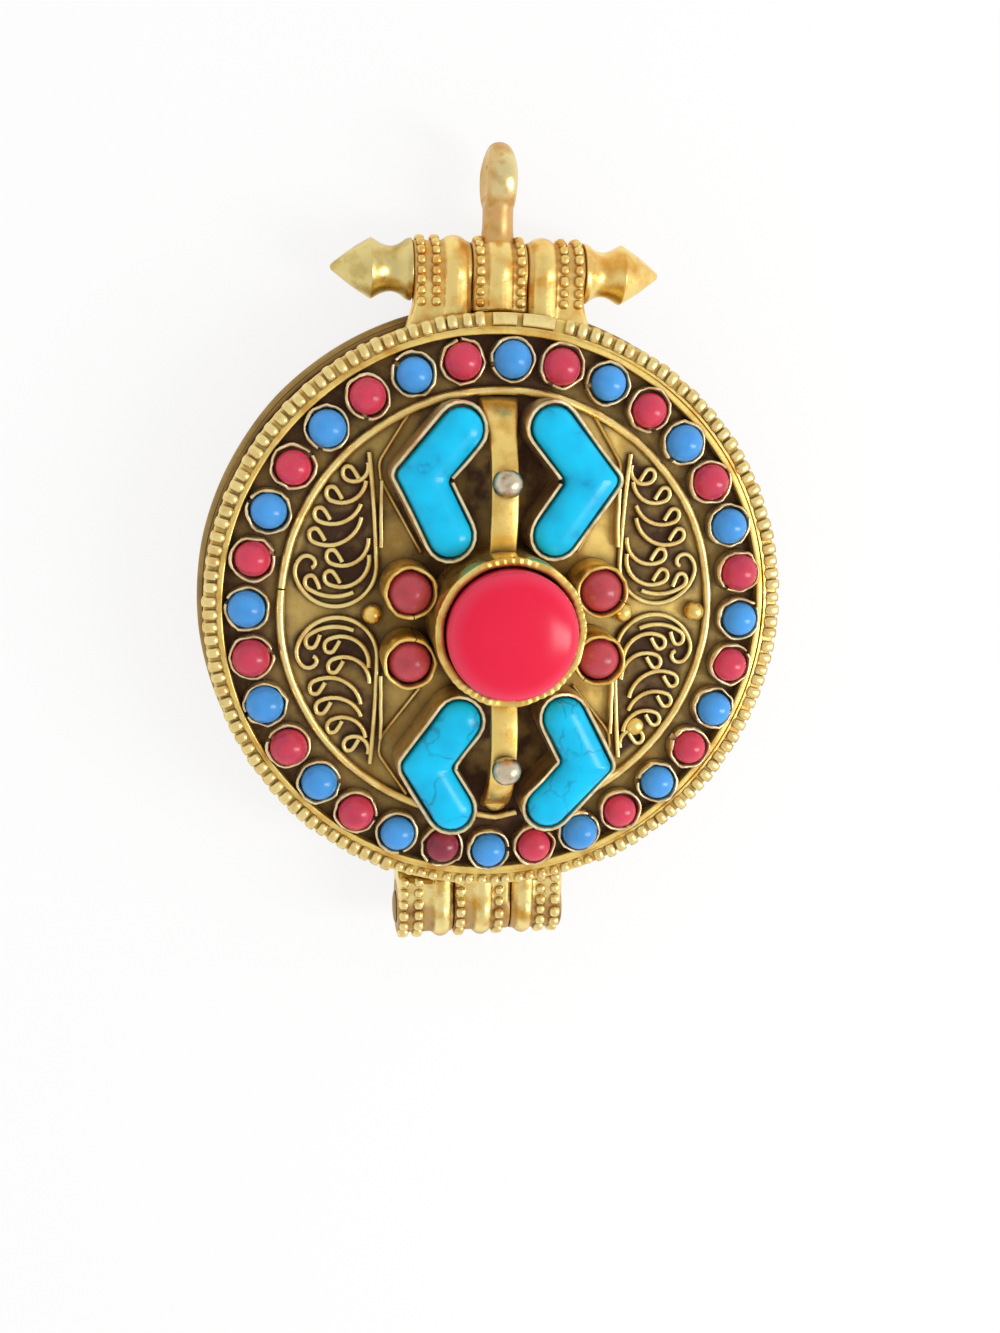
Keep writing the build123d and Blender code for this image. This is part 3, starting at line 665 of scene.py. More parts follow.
def turned_x(profile, closed, steps, y):
    """A turned shape about a tube's axis; the profile is place along X and radius."""
    rows = [about_x(profile, y, turn) for turn in around(steps)]
    return skin(rows, round_rows=True, round_points=closed)


def arc_tube(radius, height, start, end, section, steps, wobble=None):
    """A wire along an arc about Z between two angles in degrees; the section is places across and up."""
    rows = []
    for degrees in spaced(start, end, steps):
        turn = math.radians(degrees)
        reach = radius + (wobble(turn) if wobble else 0.0)
        ahead, aside = math.cos(turn), math.sin(turn)
        rows.append([((reach + a) * ahead, (reach + a) * aside, height + b) for a, b in section])
    return skin(rows, round_points=True, ends=True)


def ring_section(across, up, count):
    """Points around an oval."""
    return [(across * math.cos(turn), up * math.sin(turn)) for turn in around(count)]


def tube(path, section):
    """A wire with end faces along a path in space; the section lies across the path and towards Z."""
    rows = []
    for i, point in enumerate(path):
        before = Vector(path[max(i - 1, 0)])
        after = Vector(path[min(i + 1, len(path) - 1)])
        along = (after - before).normalized()
        side = along.cross(Vector((0, 0, 1))).normalized()
        up = side.cross(along)
        rows.append([Vector(point) + side * a + up * b for a, b in section])
    return skin(rows, round_points=True, ends=True)


def moved(part, mirror_x=False, mirror_y=False, x=0.0, y=0.0):
    """A copy of a part, mirrored and then shifted."""
    points, faces = part
    return [((-a if mirror_x else a) + x, (-b if mirror_y else b) + y, c) for a, b, c in points], faces


def linked(name, mesh):
    """An object for a mesh, in the scene."""
    made = bpy.data.objects.new(name, mesh)
    bpy.context.scene.collection.objects.link(made)
    return made


def shape(name, parts, material, crease=45):
    """A mesh object from parts in millimetres, welded, with its faces outward."""
    points = []
    faces = []
    for part_points, part_faces in parts:
        start = len(points)
        points += [Vector(point) * MM for point in part_points]
        faces += [tuple(start + i for i in face) for face in part_faces]
    mesh = bpy.data.meshes.new(name)
    mesh.from_pydata(points, [], faces)
    build = bmesh.new()
    build.from_mesh(mesh)
    bmesh.ops.remove_doubles(build, verts=build.verts, dist=WELD)
    bmesh.ops.dissolve_degenerate(build, dist=WELD, edges=build.edges)
    bmesh.ops.recalc_face_normals(build, faces=build.faces)
    build.to_mesh(mesh)
    build.free()
    mesh.polygons.foreach_set("use_smooth", [True] * len(mesh.polygons))
    mesh.set_sharp_from_angle(angle=math.radians(crease))
    mesh.materials.append(material)
    return linked(name, mesh)


def baked(piece):
    """Turns a piece's modifiers into its plain mesh."""
    bpy.context.view_layer.update()
    depsgraph = bpy.context.evaluated_depsgraph_get()
    mesh = bpy.data.meshes.new_from_object(piece.evaluated_get(depsgraph))
    piece.modifiers.clear()
    old = piece.data
    piece.data = mesh
    bpy.data.meshes.remove(old)
    mesh.name = piece.name
    return piece


def cast(name, parts, maker, passes, grain):
    """One casting from overlapping closed parts, with soft inner corners."""
    material = finish(maker)
    piece = shape(name, parts, material)
    join = piece.modifiers.new("join", "REMESH")
    join.mode = "VOXEL"
    join.voxel_size = grain
    join.use_smooth_shade = True
    soften = piece.modifiers.new("soften", "SMOOTH")
    soften.factor = 0.5
    soften.iterations = passes
    baked(piece)
    if not piece.data.materials:
        piece.data.materials.append(material)
    return piece


def mount(piece, *nodes, body="lid", slot="gilt_brass"):
    """Puts a piece on its body and hides the nodes that it stands for; the slot is not used."""
    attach(piece, body)
    if nodes:
        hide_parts(*nodes)
    return piece


def fitted(name, parts, maker, *nodes, crease=45, **place):
    """A piece from parts, mounted in its place."""
    return mount(shape(name, parts, finish(maker), crease), *nodes, **place)


# Geometry Nodes trees
def new_tree(name, numbers, counts=()):
    """A tree with places, numbers, counts and a material as inputs; returns the tree and its inputs."""
    tree = bpy.data.node_groups.new(name, "GeometryNodeTree")
    tree.interface.new_socket("Geometry", in_out="OUTPUT", socket_type="NodeSocketGeometry")
    inputs = [("Places", "Geometry")] + [(label, "Float") for label in numbers]
    inputs += [(label, "Int") for label in counts] + [("Material", "Material")]
    for label, kind in inputs:
        tree.interface.new_socket(label, in_out="INPUT", socket_type="NodeSocket" + kind)
    return tree, node(tree, "NodeGroupInput", out=None)


def end_tree(tree, geometry, material):
    """Ends a tree in plain geometry with its material."""
    real = node(tree, "GeometryNodeRealizeInstances", (geometry,))
    even = node(tree, "GeometryNodeSetShadeSmooth", (real,))
    painted = node(tree, "GeometryNodeSetMaterial", {"Geometry": even, "Material": material})
    node(tree, "NodeGroupOutput", (painted,), None)
    return tree


def random_lean(tree, given):
    """A random turn about the upright axis with a small lean."""
    lean = given["Lean"]
    other = node(tree, MATH, (lean, -1.0), operation="MULTIPLY")
    least = node(tree, JOIN, (other, other, 0.0))
    most = node(tree, JOIN, (lean, lean, TAU))
    return node(tree, RANDOM, {0: least, 1: most, "Seed": given["Seed"]}, data_type="FLOAT_VECTOR")


def raised(tree, geometry, height):
    """A shape lifted by half a height."""
    half = node(tree, MATH, (height, 0.5), operation="MULTIPLY")
    lift = node(tree, JOIN, (0.0, 0.0, half))
    return node(tree, "GeometryNodeTransform", {0: geometry, "Translation": lift})


def swept(tree, line, section):
    """A closed bar along a line, whose section stays upright."""
    upright = node(tree, "GeometryNodeSetCurveNormal", (line,), mode="Z_UP")
    inputs = {"Curve": upright, "Profile Curve": section, "Fill Caps": True}
    return node(tree, "GeometryNodeCurveToMesh", inputs)


def cup_tree():
    """Bezel cups on points: a bent strip with an open seam and an uneven top edge, on a thin floor."""
    numbers = ("Radius", "Wall", "Height", "Floor", "Base", "Ragged", "Seam", "Lean")
    tree, given = new_tree("setting_cups", numbers, ("Seed",))
    wall, height = given["Wall"], given["Height"]
    half = node(tree, MATH, (wall, 0.5), operation="MULTIPLY")
    line = node(tree, MATH, (given["Radius"], half), operation="SUBTRACT")
    sweep = node(tree, MATH, (TAU, given["Seam"]), operation="SUBTRACT")
    arc = node(tree, "GeometryNodeCurveArc", {"Resolution": 30, "Radius": line, "Sweep Angle": sweep})
    strip = node(tree, "GeometryNodeCurvePrimitiveQuadrilateral", {"Width": wall, "Height": height})
    edge = node(tree, MATH, (wall, 0.35), operation="MULTIPLY")
    eased = node(tree, "GeometryNodeFilletCurve", {"Curve": strip, "Count": 1, "Radius": edge}, mode="POLY")
    standing = raised(tree, swept(tree, arc, eased), height)
    disc = node(tree, "GeometryNodeMeshCylinder", {"Vertices": 24, "Radius": line, "Depth": given["Floor"]})
    bottom = raised(tree, disc, given["Floor"])
    cup = node(tree, "GeometryNodeJoinGeometry", ([standing, bottom],))
    turn = random_lean(tree, given)
    cups = node(tree, COPIES, {"Points": given["Places"], "Instance": cup, "Rotation": turn})
    loose = node(tree, "GeometryNodeRealizeInstances", (cups,))
    spot = node(tree, SPOT)
    crown = node(tree, MATH, (given["Base"], height), operation="ADD")
    high = node(tree, RANGE, (node(tree, SPLIT, (spot,), "Z"), given["Base"], crown))
    reach = node(tree, MATH, (high, given["Ragged"]), operation="MULTIPLY")
    rough = node(tree, NOISE, {"Vector": spot, "Scale": per_mm(1.1), "Detail": 1.0}, "Color")
    centred = node(tree, VECTOR, (rough, (0.5, 0.5, 0.5)), operation="SUBTRACT")
    offset = node(tree, VECTOR, {0: centred, "Scale": reach}, operation="SCALE")
    bent = node(tree, PLACED, {"Geometry": loose, "Offset": offset})
    return end_tree(tree, bent, given["Material"])


def stone_tree():
    """Round domed stones on points, each a little different in size, lean and tone."""
    numbers = ("Radius", "Side", "Dome", "Spread", "Lean", "Tone", "Darkness")
    tree, given = new_tree("domed_stones", numbers, ("Darkest", "Seed"))
    ball = node(tree, "GeometryNodeMeshUVSphere", {"Segments": 28, "Rings": 16, "Radius": 1.0})
    x, y, z = node(tree, SPLIT, (node(tree, SPOT),), None)
    above = node(tree, MATH, (z, 0.0), operation="MAXIMUM")
    below = node(tree, MATH, (z, 0.0), operation="MINIMUM")
    foot = node(tree, MATH, (below, given["Side"], given["Side"]), operation="MULTIPLY_ADD")
    rise = node(tree, MATH, (above, given["Dome"], foot), operation="MULTIPLY_ADD")
    across = node(tree, MATH, (x, given["Radius"]), operation="MULTIPLY")
    along = node(tree, MATH, (y, given["Radius"]), operation="MULTIPLY")
    place = node(tree, JOIN, (across, along, rise))
    domed = node(tree, PLACED, {"Geometry": ball, "Position": place})
    least = node(tree, MATH, (1.0, given["Spread"]), operation="SUBTRACT")
    size = node(tree, RANDOM, {2: least, 3: 1.0, "Seed": given["Seed"]}, 1, data_type="FLOAT")
    turn = random_lean(tree, given)
    placing = {"Points": given["Places"], "Instance": domed, "Rotation": turn, "Scale": size}
    stones = node(tree, COPIES, placing)
    chosen = {2: node(tree, "GeometryNodeInputIndex"), 3: given["Darkest"]}
    dark = node(tree, "FunctionNodeCompare", chosen, data_type="INT", operation="EQUAL")
    chance = node(tree, RANDOM, {2: 0.0, 3: given["Tone"], "Seed": given["Seed"]}, 1, data_type="FLOAT")
    added = node(tree, MATH, (dark, given["Darkness"]), operation="MULTIPLY")
    total = node(tree, MATH, (chance, added), operation="ADD")
    tone = {"Geometry": stones, "Name": "tone", "Value": total}
    toned = node(tree, "GeometryNodeStoreNamedAttribute", tone, data_type="FLOAT", domain="INSTANCE")
    return end_tree(tree, toned, given["Material"])


def bead_shape(tree, blocky):
    """A rounded block for beads, one unit wide, between a cube and a ball."""
    cube = node(tree, "GeometryNodeMeshCube", {"Vertices X": 4, "Vertices Y": 4, "Vertices Z": 4})
    spot = node(tree, SPOT)
    unit = node(tree, VECTOR, (spot,), operation="NORMALIZE")
    ball = node(tree, VECTOR, {0: unit, "Scale": 0.5}, operation="SCALE")
    place = node(tree, MIX, {0: 1.0 - blocky, 4: spot, 5: ball}, 1, data_type="VECTOR")
    return node(tree, PLACED, {"Geometry": cube, "Position": place})


def rim_bead_tree():
    """Beads around the rim: stamped blocks, and round grains in the lower part of the ring."""
    numbers = ("Deep", "Wide", "Tall", "Grain", "Lowest", "Uneven")
    tree, given = new_tree("rim_beads", numbers, ("Seed",))
    x, y, _ = node(tree, SPLIT, (node(tree, SPOT),), None)
    angle = node(tree, MATH, (y, x), operation="ARCTAN2")
    facing = node(tree, JOIN, (0.0, 0.0, angle))
    limits = (y, given["Lowest"])
    low = node(tree, "FunctionNodeCompare", limits, data_type="FLOAT", operation="LESS_THAN")
    high = node(tree, "FunctionNodeBooleanMath", (low,), operation="NOT")
    block = node(tree, JOIN, (given["Deep"], given["Wide"], given["Tall"]))
    grain = node(tree, JOIN, (given["Grain"], given["Grain"], given["Tall"]))
    small = node(tree, MATH, (1.0, given["Uneven"]), operation="SUBTRACT")
    least = node(tree, JOIN, (small, small, small))
    spread = {0: least, 1: (1.0, 1.0, 1.0), "Seed": given["Seed"]}
    vary = node(tree, RANDOM, spread, data_type="FLOAT_VECTOR")
    sets = []
    for chosen, blocky, whole in ((high, 0.45, block), (low, 0.05, grain)):
        size = node(tree, VECTOR, (whole, vary), operation="MULTIPLY")
        placing = {"Points": given["Places"], "Selection": chosen, "Instance": bead_shape(tree, blocky)}
        sets.append(node(tree, COPIES, {**placing, "Rotation": facing, "Scale": size}))
    return end_tree(tree, node(tree, "GeometryNodeJoinGeometry", (sets,)), given["Material"])


def bead_tree():
    """Small round beads on points, a little uneven."""
    tree, given = new_tree("band_beads", ("Bead", "Uneven"), ("Seed",))
    small = node(tree, MATH, (1.0, given["Uneven"]), operation="SUBTRACT")
    least = node(tree, MATH, (given["Bead"], small), operation="MULTIPLY")
    size = node(tree, RANDOM, {2: least, 3: given["Bead"], "Seed": given["Seed"]}, 1, data_type="FLOAT")
    placing = {"Points": given["Places"], "Instance": bead_shape(tree, 0.15), "Scale": size}
    return end_tree(tree, node(tree, COPIES, placing), given["Material"])


def wire_tree():
    """Round wire along lines, a little flattened, with closed ends."""
    tree, given = new_tree("filigree_wire", ("Width", "Height"))
    lines = node(tree, "GeometryNodeMeshToCurve", (given["Places"],))
    circle = node(tree, "GeometryNodeCurvePrimitiveCircle", {"Resolution": 8, "Radius": 0.5})
    size = node(tree, JOIN, (given["Width"], given["Height"], 1.0))
    section = node(tree, "GeometryNodeTransform", {0: circle, "Scale": size})
    return end_tree(tree, swept(tree, lines, section), given["Material"])


trees = {}


def grown(name, points, tree_maker, maker, edges=(), **values):
    """The plain mesh that a tree, made once, makes from points in millimetres."""
    if tree_maker not in trees:
        trees[tree_maker] = tree_maker()
    tree = trees[tree_maker]
    values["Material"] = finish(maker)
    mesh = bpy.data.meshes.new(name)
    mesh.from_pydata([Vector(point) * MM for point in points], list(edges), [])
    piece = linked(name, mesh)
    modifier = piece.modifiers.new("grow", "NODES")
    modifier.node_group = tree
    for item in tree.interface.items_tree:
        if item.in_out == "INPUT" and item.name in values:
            modifier[item.identifier] = values[item.name]
    return baked(piece)


# Pieces
def beaten(seed, waves, edge, fade, middle, depth, twist):
    """Shallow hammer dents in a round sheet, none at its middle or past its edge."""
    dent = wavy(seed, waves, 1.0)

    def dented(radius, height, turn):
        inside = min(1.0, max(0.0, (edge - radius) / fade)) * min(1.0, radius / middle)
        return 0.0, depth * inside * (1 + dent(turn + radius / twist))

    return dented


class GHAU_OT_tray_shell(bpy.types.Operator):
    """Back plate and wall of the tray, with the half-round wire at its mouth"""

    bl_idname = "ghau.tray_shell"
    bl_label = "Tray Shell"

    def execute(self, context):
        outer, inner = TRAY_R - SKIN, TRAY_R - GAUGE
        corners = [(radius, SKIN, 0) for radius in TRAY_RINGS]
        corners += [(outer, SKIN, 0.6), (outer, TRAY_TOP / 2, 0), (outer, TRAY_TOP, 0.25)]
        corners += [(inner, TRAY_TOP, 0.25), (inner, SHEET, 0.5)]
        corners += [(radius, SHEET, 0) for radius in reversed(TRAY_RINGS)]
        dents = beaten(3, (2, 3, 5), 27, 6, 9, 0.07, 5)
        shell = turned_z(softened(corners, False), False, SHELL_STEPS, wobble=dents)
        fitted("tray_shell", [shell], shaded_tarnished_brass_sheet, "back_plate", "back_wall", body="tray")
        uneven = wavy(5, (5, 9, 14, 23), 0.05)
        low = TRAY_TOP - MOUTH_BOW[-1][1]
        section = [(a - MOUTH_SUNK, low + b) for a, b in MOUTH_BOW]
        arcs = [arc_tube(TRAY_R, 0.0, *span, section, MOUTH_STEPS, uneven) for span in MOUTH_SPANS]
        fitted("mouth_wire_round", arcs, shaded_tarnished_brass_sheet, "mouth_wire", body="tray")
        return {"FINISHED"}


class GHAU_OT_lid_shell(bpy.types.Operator):
    """Face plate and wall of the lid"""

    bl_idname = "ghau.lid_shell"
    bl_label = "Lid Shell"

    def execute(self, context):
        top, under, inner = FACE - SKIN, FACE - GAUGE, LID_R - GAUGE
        corners = [(radius, top, 0) for radius in FACE_RINGS] + [(LID_R, top, 0.25)]
        corners += [(LID_R, (FACE + LID_LOW) / 2, 0), (LID_R, LID_LOW, 0.2), (inner, LID_LOW, 0.2)]
        corners += [(inner, under, 0.4), (22, under, 0), (12, under, 0), (0, under, 0)]
        dents = beaten(11, (3, 4, 7), 26, 4, 6, -0.05, 4)
        shell = turned_z(softened(corners, False), False, SHELL_STEPS, wobble=dents)
        fitted("lid_shell", [shell], shaded_tarnished_gilt_sheet, "face_plate", "lid_wall")
        return {"FINISHED"}


class GHAU_OT_border_wires(bpy.types.Operator):
    """Beaded rim with its two plain lengths, channel strip and inner ring wire"""

    bl_idname = "ghau.border_wires"
    bl_label = "Border Wires"

    def execute(self, context):
        s = context.scene.ghau_sizes
        centre_z = RIM_TOP + 0.1 - s.rim_bead_tall / MM / 2
        draw = random.Random(21)
        places = []
        for i in range(s.rim_beads):
            turn = TAU * (i + draw.uniform(-0.08, 0.08)) / s.rim_beads
            radius = RIM_R + draw.uniform(-0.06, 0.06)
            x, y = radius * math.cos(turn), radius * math.sin(turn)
            if y > 0 and any(a - RIM_PLAIN_GAP < x < b + RIM_PLAIN_GAP for a, b in RIM_PLAIN):
                continue
            places.append((x, y, centre_z + draw.uniform(-0.07, 0.0)))
        beads = grown(
            "rim_beads", places, rim_bead_tree, rubbed_gilt_wire, Deep=s.rim_bead_deep, Wide=s.rim_bead_wide,
            Tall=s.rim_bead_tall, Grain=s.rim_grain, Lowest=GRAINS_BELOW * MM, Uneven=0.14, Seed=4,
        )
        mount(beads, "rim_beaded_wire")
        foot = FACE - RIM_TOP
        section = [(-1.0, foot), (-1.0, -0.42), (-0.92, -0.34), (-0.7, -0.36), (-0.6, -0.48), (-0.46, -0.54)]
        section += [(0.3, -0.54), (0.52, -0.72), (0.62, -1.1), (0.62, foot)]
        starts = range(-180, 180, 90)
        core = [arc_tube(RIM_R, RIM_TOP, start, start + 90, section, ARC_STEPS) for start in starts]
        corners = [(-0.58, -1.2, 0.1), (0.6, -1.2, 0.1), (0.6, -0.05, 0.22), (-0.58, -0.05, 0.22)]
        plain = []
        for span in RIM_PLAIN:
            end, start = (math.degrees(math.acos(x / RIM_R)) for x in span)
            plain.append(arc_tube(RIM_R, RIM_TOP, start, end, softened(corners, True), 12))
        fitted("rim_core", core, fire_gilt_brass)
        fitted("rim_plain_lengths", plain, rubbed_gilt_wire)

        ripple = wavy(31, (4, 7, 11, 17, 29), 0.07)
        sway = wavy(32, (3, 5, 8), 0.05)

        def hand_bent(radius, height, turn):
            return sway(turn), ripple(turn) - 0.08 if height > FACE + 0.5 else 0.0

        top = STRIP_TOP - 0.2
        corners = [(STRIP_OUT, SEAT, 0), (STRIP_OUT, top, 0.18), (STRIP_IN, top, 0.18), (STRIP_IN, SEAT, 0)]
        strip = turned_z(softened(corners, True), True, STRIP_STEPS, x=STRIP_X, wobble=hand_bent)
        fitted("channel_strip_band", [strip], fire_gilt_brass, "channel_strip")
        bent = wavy(37, (4, 6, 9, 13), 0.08)
        wire = ring_section(0.44, 0.42, 12)
        arcs = [arc_tube(RING_R, FACE + 0.36, *span, wire, ARC_STEPS, bent) for span in ring_spans()]
        fitted("ring_wire_round", arcs, rubbed_gilt_wire, "inner_ring_wire")
        return {"FINISHED"}


def bent_distance(x, y):
    """Distance from a point of the face to the nearest bent stone's middle line."""
    quarter = ("upper" if y > 0 else "lower") + ("_right" if x > 0 else "_left")
    end, corner, tail = (Vector(place) for place in BENT_LINES[quarter])
    point = Vector((abs(x), abs(y)))
    nearest = math.inf
    for a, b in ((end, corner), (corner, tail)):
        share = max(0.0, min(1.0, (point - a).dot(b - a) / (b - a).length_squared))
        nearest = min(nearest, (point - a.lerp(b, share)).length)
    return nearest


def ring_spans():
    """Spans of the ring wire between the bent bezels, in degrees, with its open joint on the left."""
    spans = []
    start = None
    count = int(360 / RING_STEP)
    for i in range(count + 1):
        turn = i * RING_STEP
        x, y = RING_R * math.cos(math.radians(turn)), RING_R * math.sin(math.radians(turn))
        free = bent_distance(x, y) > BEZEL_HALF - 0.15
        free = free and abs(turn - RING_JOINT) > RING_STEP and abs(turn - RING_FOOT) > 8
        if free and start is None:
            start = turn
        if start is not None and (not free or i == count):
            spans.append((start, turn))
            start = None
    return [(spans[-1][0] - 360, spans[0][1])] + spans[1:-1]


def at(places, z):
    """Places of the face at one height."""
    return [(x, y, z) for x, y in places]


class GHAU_OT_rim_settings(bpy.types.Operator):
    """Thirty-two small stones of the border in their cups"""

    bl_idname = "ghau.rim_settings"
    bl_label = "Border Stones"

    def execute(self, context):
        s = context.scene.ghau_sizes
        turns = [math.radians(STONE_START - STONE_STEP * i) for i in range(2 * STONE_PAIRS)]
        places = [(STONE_RING * math.cos(turn), STONE_RING * math.sin(turn) + STONE_Y) for turn in turns]
        cups = grown(
            "rim_cups", at(places, FACE - SKIN), cup_tree, annealed_brass_strip, Radius=s.rim_cup_radius,
            Wall=s.rim_cup_wall, Height=s.rim_cup_tall, Floor=CUP_FLOOR * MM, Base=STONE_FLOOR * MM,
            Ragged=0.75 * MM, Seam=0.24, Lean=0.035, Seed=8,
        )
        mount(cups, "rim_bezels")
        kinds = (("blue", fire_polished_blue_paste, NONE_DARK), ("red", fire_polished_red_paste, DARK_RED))
        for first, (name, maker, darkest) in enumerate(kinds):
            stones = grown(
                name + "_border_stones", at(places[first::2], STONE_FLOOR), stone_tree, maker,
                Radius=s.rim_stone_radius, Side=s.rim_stone_side, Dome=s.rim_stone_dome,
                Spread=0.09, Lean=0.09, Tone=0.22, Darkest=darkest, Darkness=0.8, Seed=12 + first,
            )
            mount(stones, "rim_stones_" + name, slot=name + "_stone")
        return {"FINISHED"}


def domed(radius, wall, top, power, steps):
    """A profile up a rounded side to its crown: places out and up, from the wall's height to the top."""
    bends = spaced(0.0, TAU / 4, steps)
    return [
        (radius * math.cos(bend) ** (2 / power), wall + (top - wall) * math.sin(bend) ** (2 / power))
        for bend in bends
    ]


class GHAU_OT_centre_setting(bpy.types.Operator):
    """Large coral in its tall bezel with a notched edge"""

    bl_idname = "ghau.centre_setting"
    bl_label = "Coral"

    def execute(self, context):
        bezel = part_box("centre_bezel")[1]
        outer, top = bezel.x / MM, bezel.z / MM
        sway = wavy(41, (2, 3, 5), 0.06)

        def notched(radius, height, turn):
            share = max(0.0, height - top + 1.0)
            wave = (0.03 + 0.03 * math.sin(5 * turn)) * math.sin(56 * turn) + 0.06 * math.sin(13 * turn + 1.0)
            return share * (sway(turn) - 0.06 + 0.7 * wave), share * (wave - 0.18)

        edge, lip = outer - 0.05, outer - 0.85
        corners = [(edge, SEAT, 0), (edge, FACE + 4, 0), (edge, top - 1.0, 0), (edge, top, 0.2)]
        corners += [(lip, top - 0.05, 0.3), (outer - 1.0, top - 1.0, 0.2), (lip, CENTRE_FLOOR, 0)]
        profile = [(0, SEAT)] + softened(corners, False) + [(0, CENTRE_FLOOR)]
        cup = turned_z(profile, False, NOTCH_STEPS, y=FIGURE_Y, wobble=notched)
        fitted("coral_bezel", [cup], fire_gilt_brass, "centre_bezel")

        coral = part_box("centre_stone")[1]
        radius = coral.x / MM - 0.3
        profile = [(0, CENTRE_FLOOR), (radius * 0.8, CENTRE_FLOOR), (radius * 0.98, CENTRE_FLOOR + 0.4)]
        profile += domed(radius, CENTRE_FLOOR + 4.5, coral.z / MM - 0.05, 2.5, 24)
        dome = turned_z(profile, False, 96, y=FIGURE_Y - 0.12)
        fitted("coral_dome", [dome], polished_dyed_coral, "centre_stone", slot="coral")
        return {"FINISHED"}


class GHAU_OT_side_settings(bpy.types.Operator):
    """Four dull red stones beside the coral in their cups"""

    bl_idname = "ghau.side_settings"
    bl_label = "Middle Stones"

    def execute(self, context):
        s = context.scene.ghau_sizes
        places = [(x, y + FIGURE_Y) for x in (-SIDE_X, SIDE_X) for y in (-SIDE_Y, SIDE_Y)]
        cups = grown(
            "side_cups", at(places, FACE - SKIN), cup_tree, fire_gilt_brass, Radius=s.side_cup_radius,
            Wall=s.side_cup_wall, Height=s.side_cup_tall, Floor=(SIDE_FLOOR - FACE) * MM, Base=FACE * MM,
            Ragged=0.45 * MM, Seam=0.05, Lean=0.015, Seed=3,
        )
        mount(cups, "side_bezels")
        stones = grown(
            "side_domes", at(places, SIDE_FLOOR), stone_tree, tumbled_red_stone, Radius=s.side_stone_radius,
            Side=s.side_stone_side, Dome=s.side_stone_dome, Spread=0.05, Lean=0.08, Tone=0.25,
            Darkest=NONE_DARK, Darkness=0.0, Seed=5,
        )
        mount(stones, "side_stones", slot="dull_red_stone")
        return {"FINISHED"}


def bent_outline(line, half, ends=10, straight=5, corner=6):
    """Outline of a bent stone at half its width, always with the same number of points."""
    end, middle, tail = (Vector(place) for place in line)
    up = (end - middle).normalized()
    down = (tail - middle).normalized()
    up_side = Vector((up.y, -up.x)) * half
    down_side = Vector((-down.y, down.x)) * half
    inward = (up + down).normalized()
    bend = math.acos(max(-1.0, min(1.0, up.dot(down)))) / 2
    share = min(1.0, half / BENT_HALF)
    grown_by = max(0.0, half - BENT_HALF)

    def fillet(point, radius, first, second):
        if radius < 1e-6:
            return [point.copy() for _ in range(corner + 1)]
        away = radius / math.tan(bend)
        centre = point + (first + second).normalized() * (radius / math.sin(bend))
        begin = point + first * away - centre
        turn = begin.angle_signed(point + second * away - centre)
        return [centre + Matrix.Rotation(-turn * i / corner, 2) @ begin for i in range(corner + 1)]

    def cap(centre, start, axis):
        side = start.normalized() if half > 1e-9 else Vector((1, 0))
        turns = spaced(0.0, math.pi, ends)
        return [centre + (side * math.cos(turn) + axis * math.sin(turn)) * half for turn in turns]

    def run(a, b):
        return [a.lerp(b, i / straight) for i in range(1, straight)]

    outer = middle - inward * (half / math.sin(bend))
    inner = middle + inward * (half / math.sin(bend))
    outer_turn = fillet(outer, BENT_ROUND * share + grown_by, down, up)
    inner_turn = fillet(inner, max(0.0, BENT_ROUND * share - grown_by), up, down)
    end_cap = cap(end, up_side, up)
    tail_cap = cap(tail, -down_side, down)
    loop = outer_turn + run(outer_turn[-1], end_cap[0]) + end_cap
    loop += run(end_cap[-1], inner_turn[0]) + inner_turn
    loop += run(inner_turn[-1], tail_cap[0]) + tail_cap + run(tail_cap[-1], outer_turn[0])
    return loop


def bent_bezel(line, top, seed, open_notch):
    """A tall thin strip around a bent stone with an uneven edge; it may stand open at the inner corner."""
    edge = wavy(seed, (3, 5, 8, 13), 0.16)
    sway = wavy(seed + 10, (2, 3, 5, 7), 0.12)
    out = BEZEL_HALF
    rows = []
    for half, height, loose in (
        (0.0, SEAT, 0.0), (out - 0.1, SEAT, 0.0), (out - 0.08, FACE + 2.4, 0.3),
        (out - 0.06, top - 0.9, 0.6), (out - 0.05, top - 0.12, 1.0), (out - 0.13, top, 1.0),
        (out - 0.36, top, 1.0), (out - 0.44, top - 0.12, 1.0), (out - 0.47, top - 0.9, 0.6),
        (out - 0.47, BENT_FLOOR, 0.0), (0.0, BENT_FLOOR, 0.0),
    ):
        outline = bent_outline(line, half)
        row = []
        for i, point in enumerate(outline):
            turn = TAU * i / len(outline)
            away = (point - Vector(line[1])).normalized()
            point = point + away * sway(turn) * loose
            rise = edge(turn) - 0.16 if loose == 1.0 else 0.0
            if open_notch and loose == 1.0 and abs(i - BEZEL_NOTCH) <= 1:
                rise = -2.3
            row.append((point.x, point.y, height + rise))
        rows.append(row)
    return skin(rows, round_points=True)


def bent_stone(line, top, seed):
    """A bent stone with a pillowed top and a little unevenness."""
    uneven = wavy(seed, (2, 3, 4, 6), 0.08)
    rows = [[(p.x, p.y, BENT_FLOOR) for p in bent_outline(line, half)] for half in (0.0, BENT_HALF - 0.1)]
    profile = domed(BENT_HALF, top - 1.35, top, 2.2, 14)
    profile[-1] = (0.0, profile[-1][1])
    for half, height in profile:
        outline = bent_outline(line, half)
        row = []
        for k, point in enumerate(outline):
            rise = uneven(TAU * k / len(outline)) * half / BENT_HALF
            row.append((point.x, point.y, height + rise))
        rows.append(row)
    return skin(rows, round_points=True)


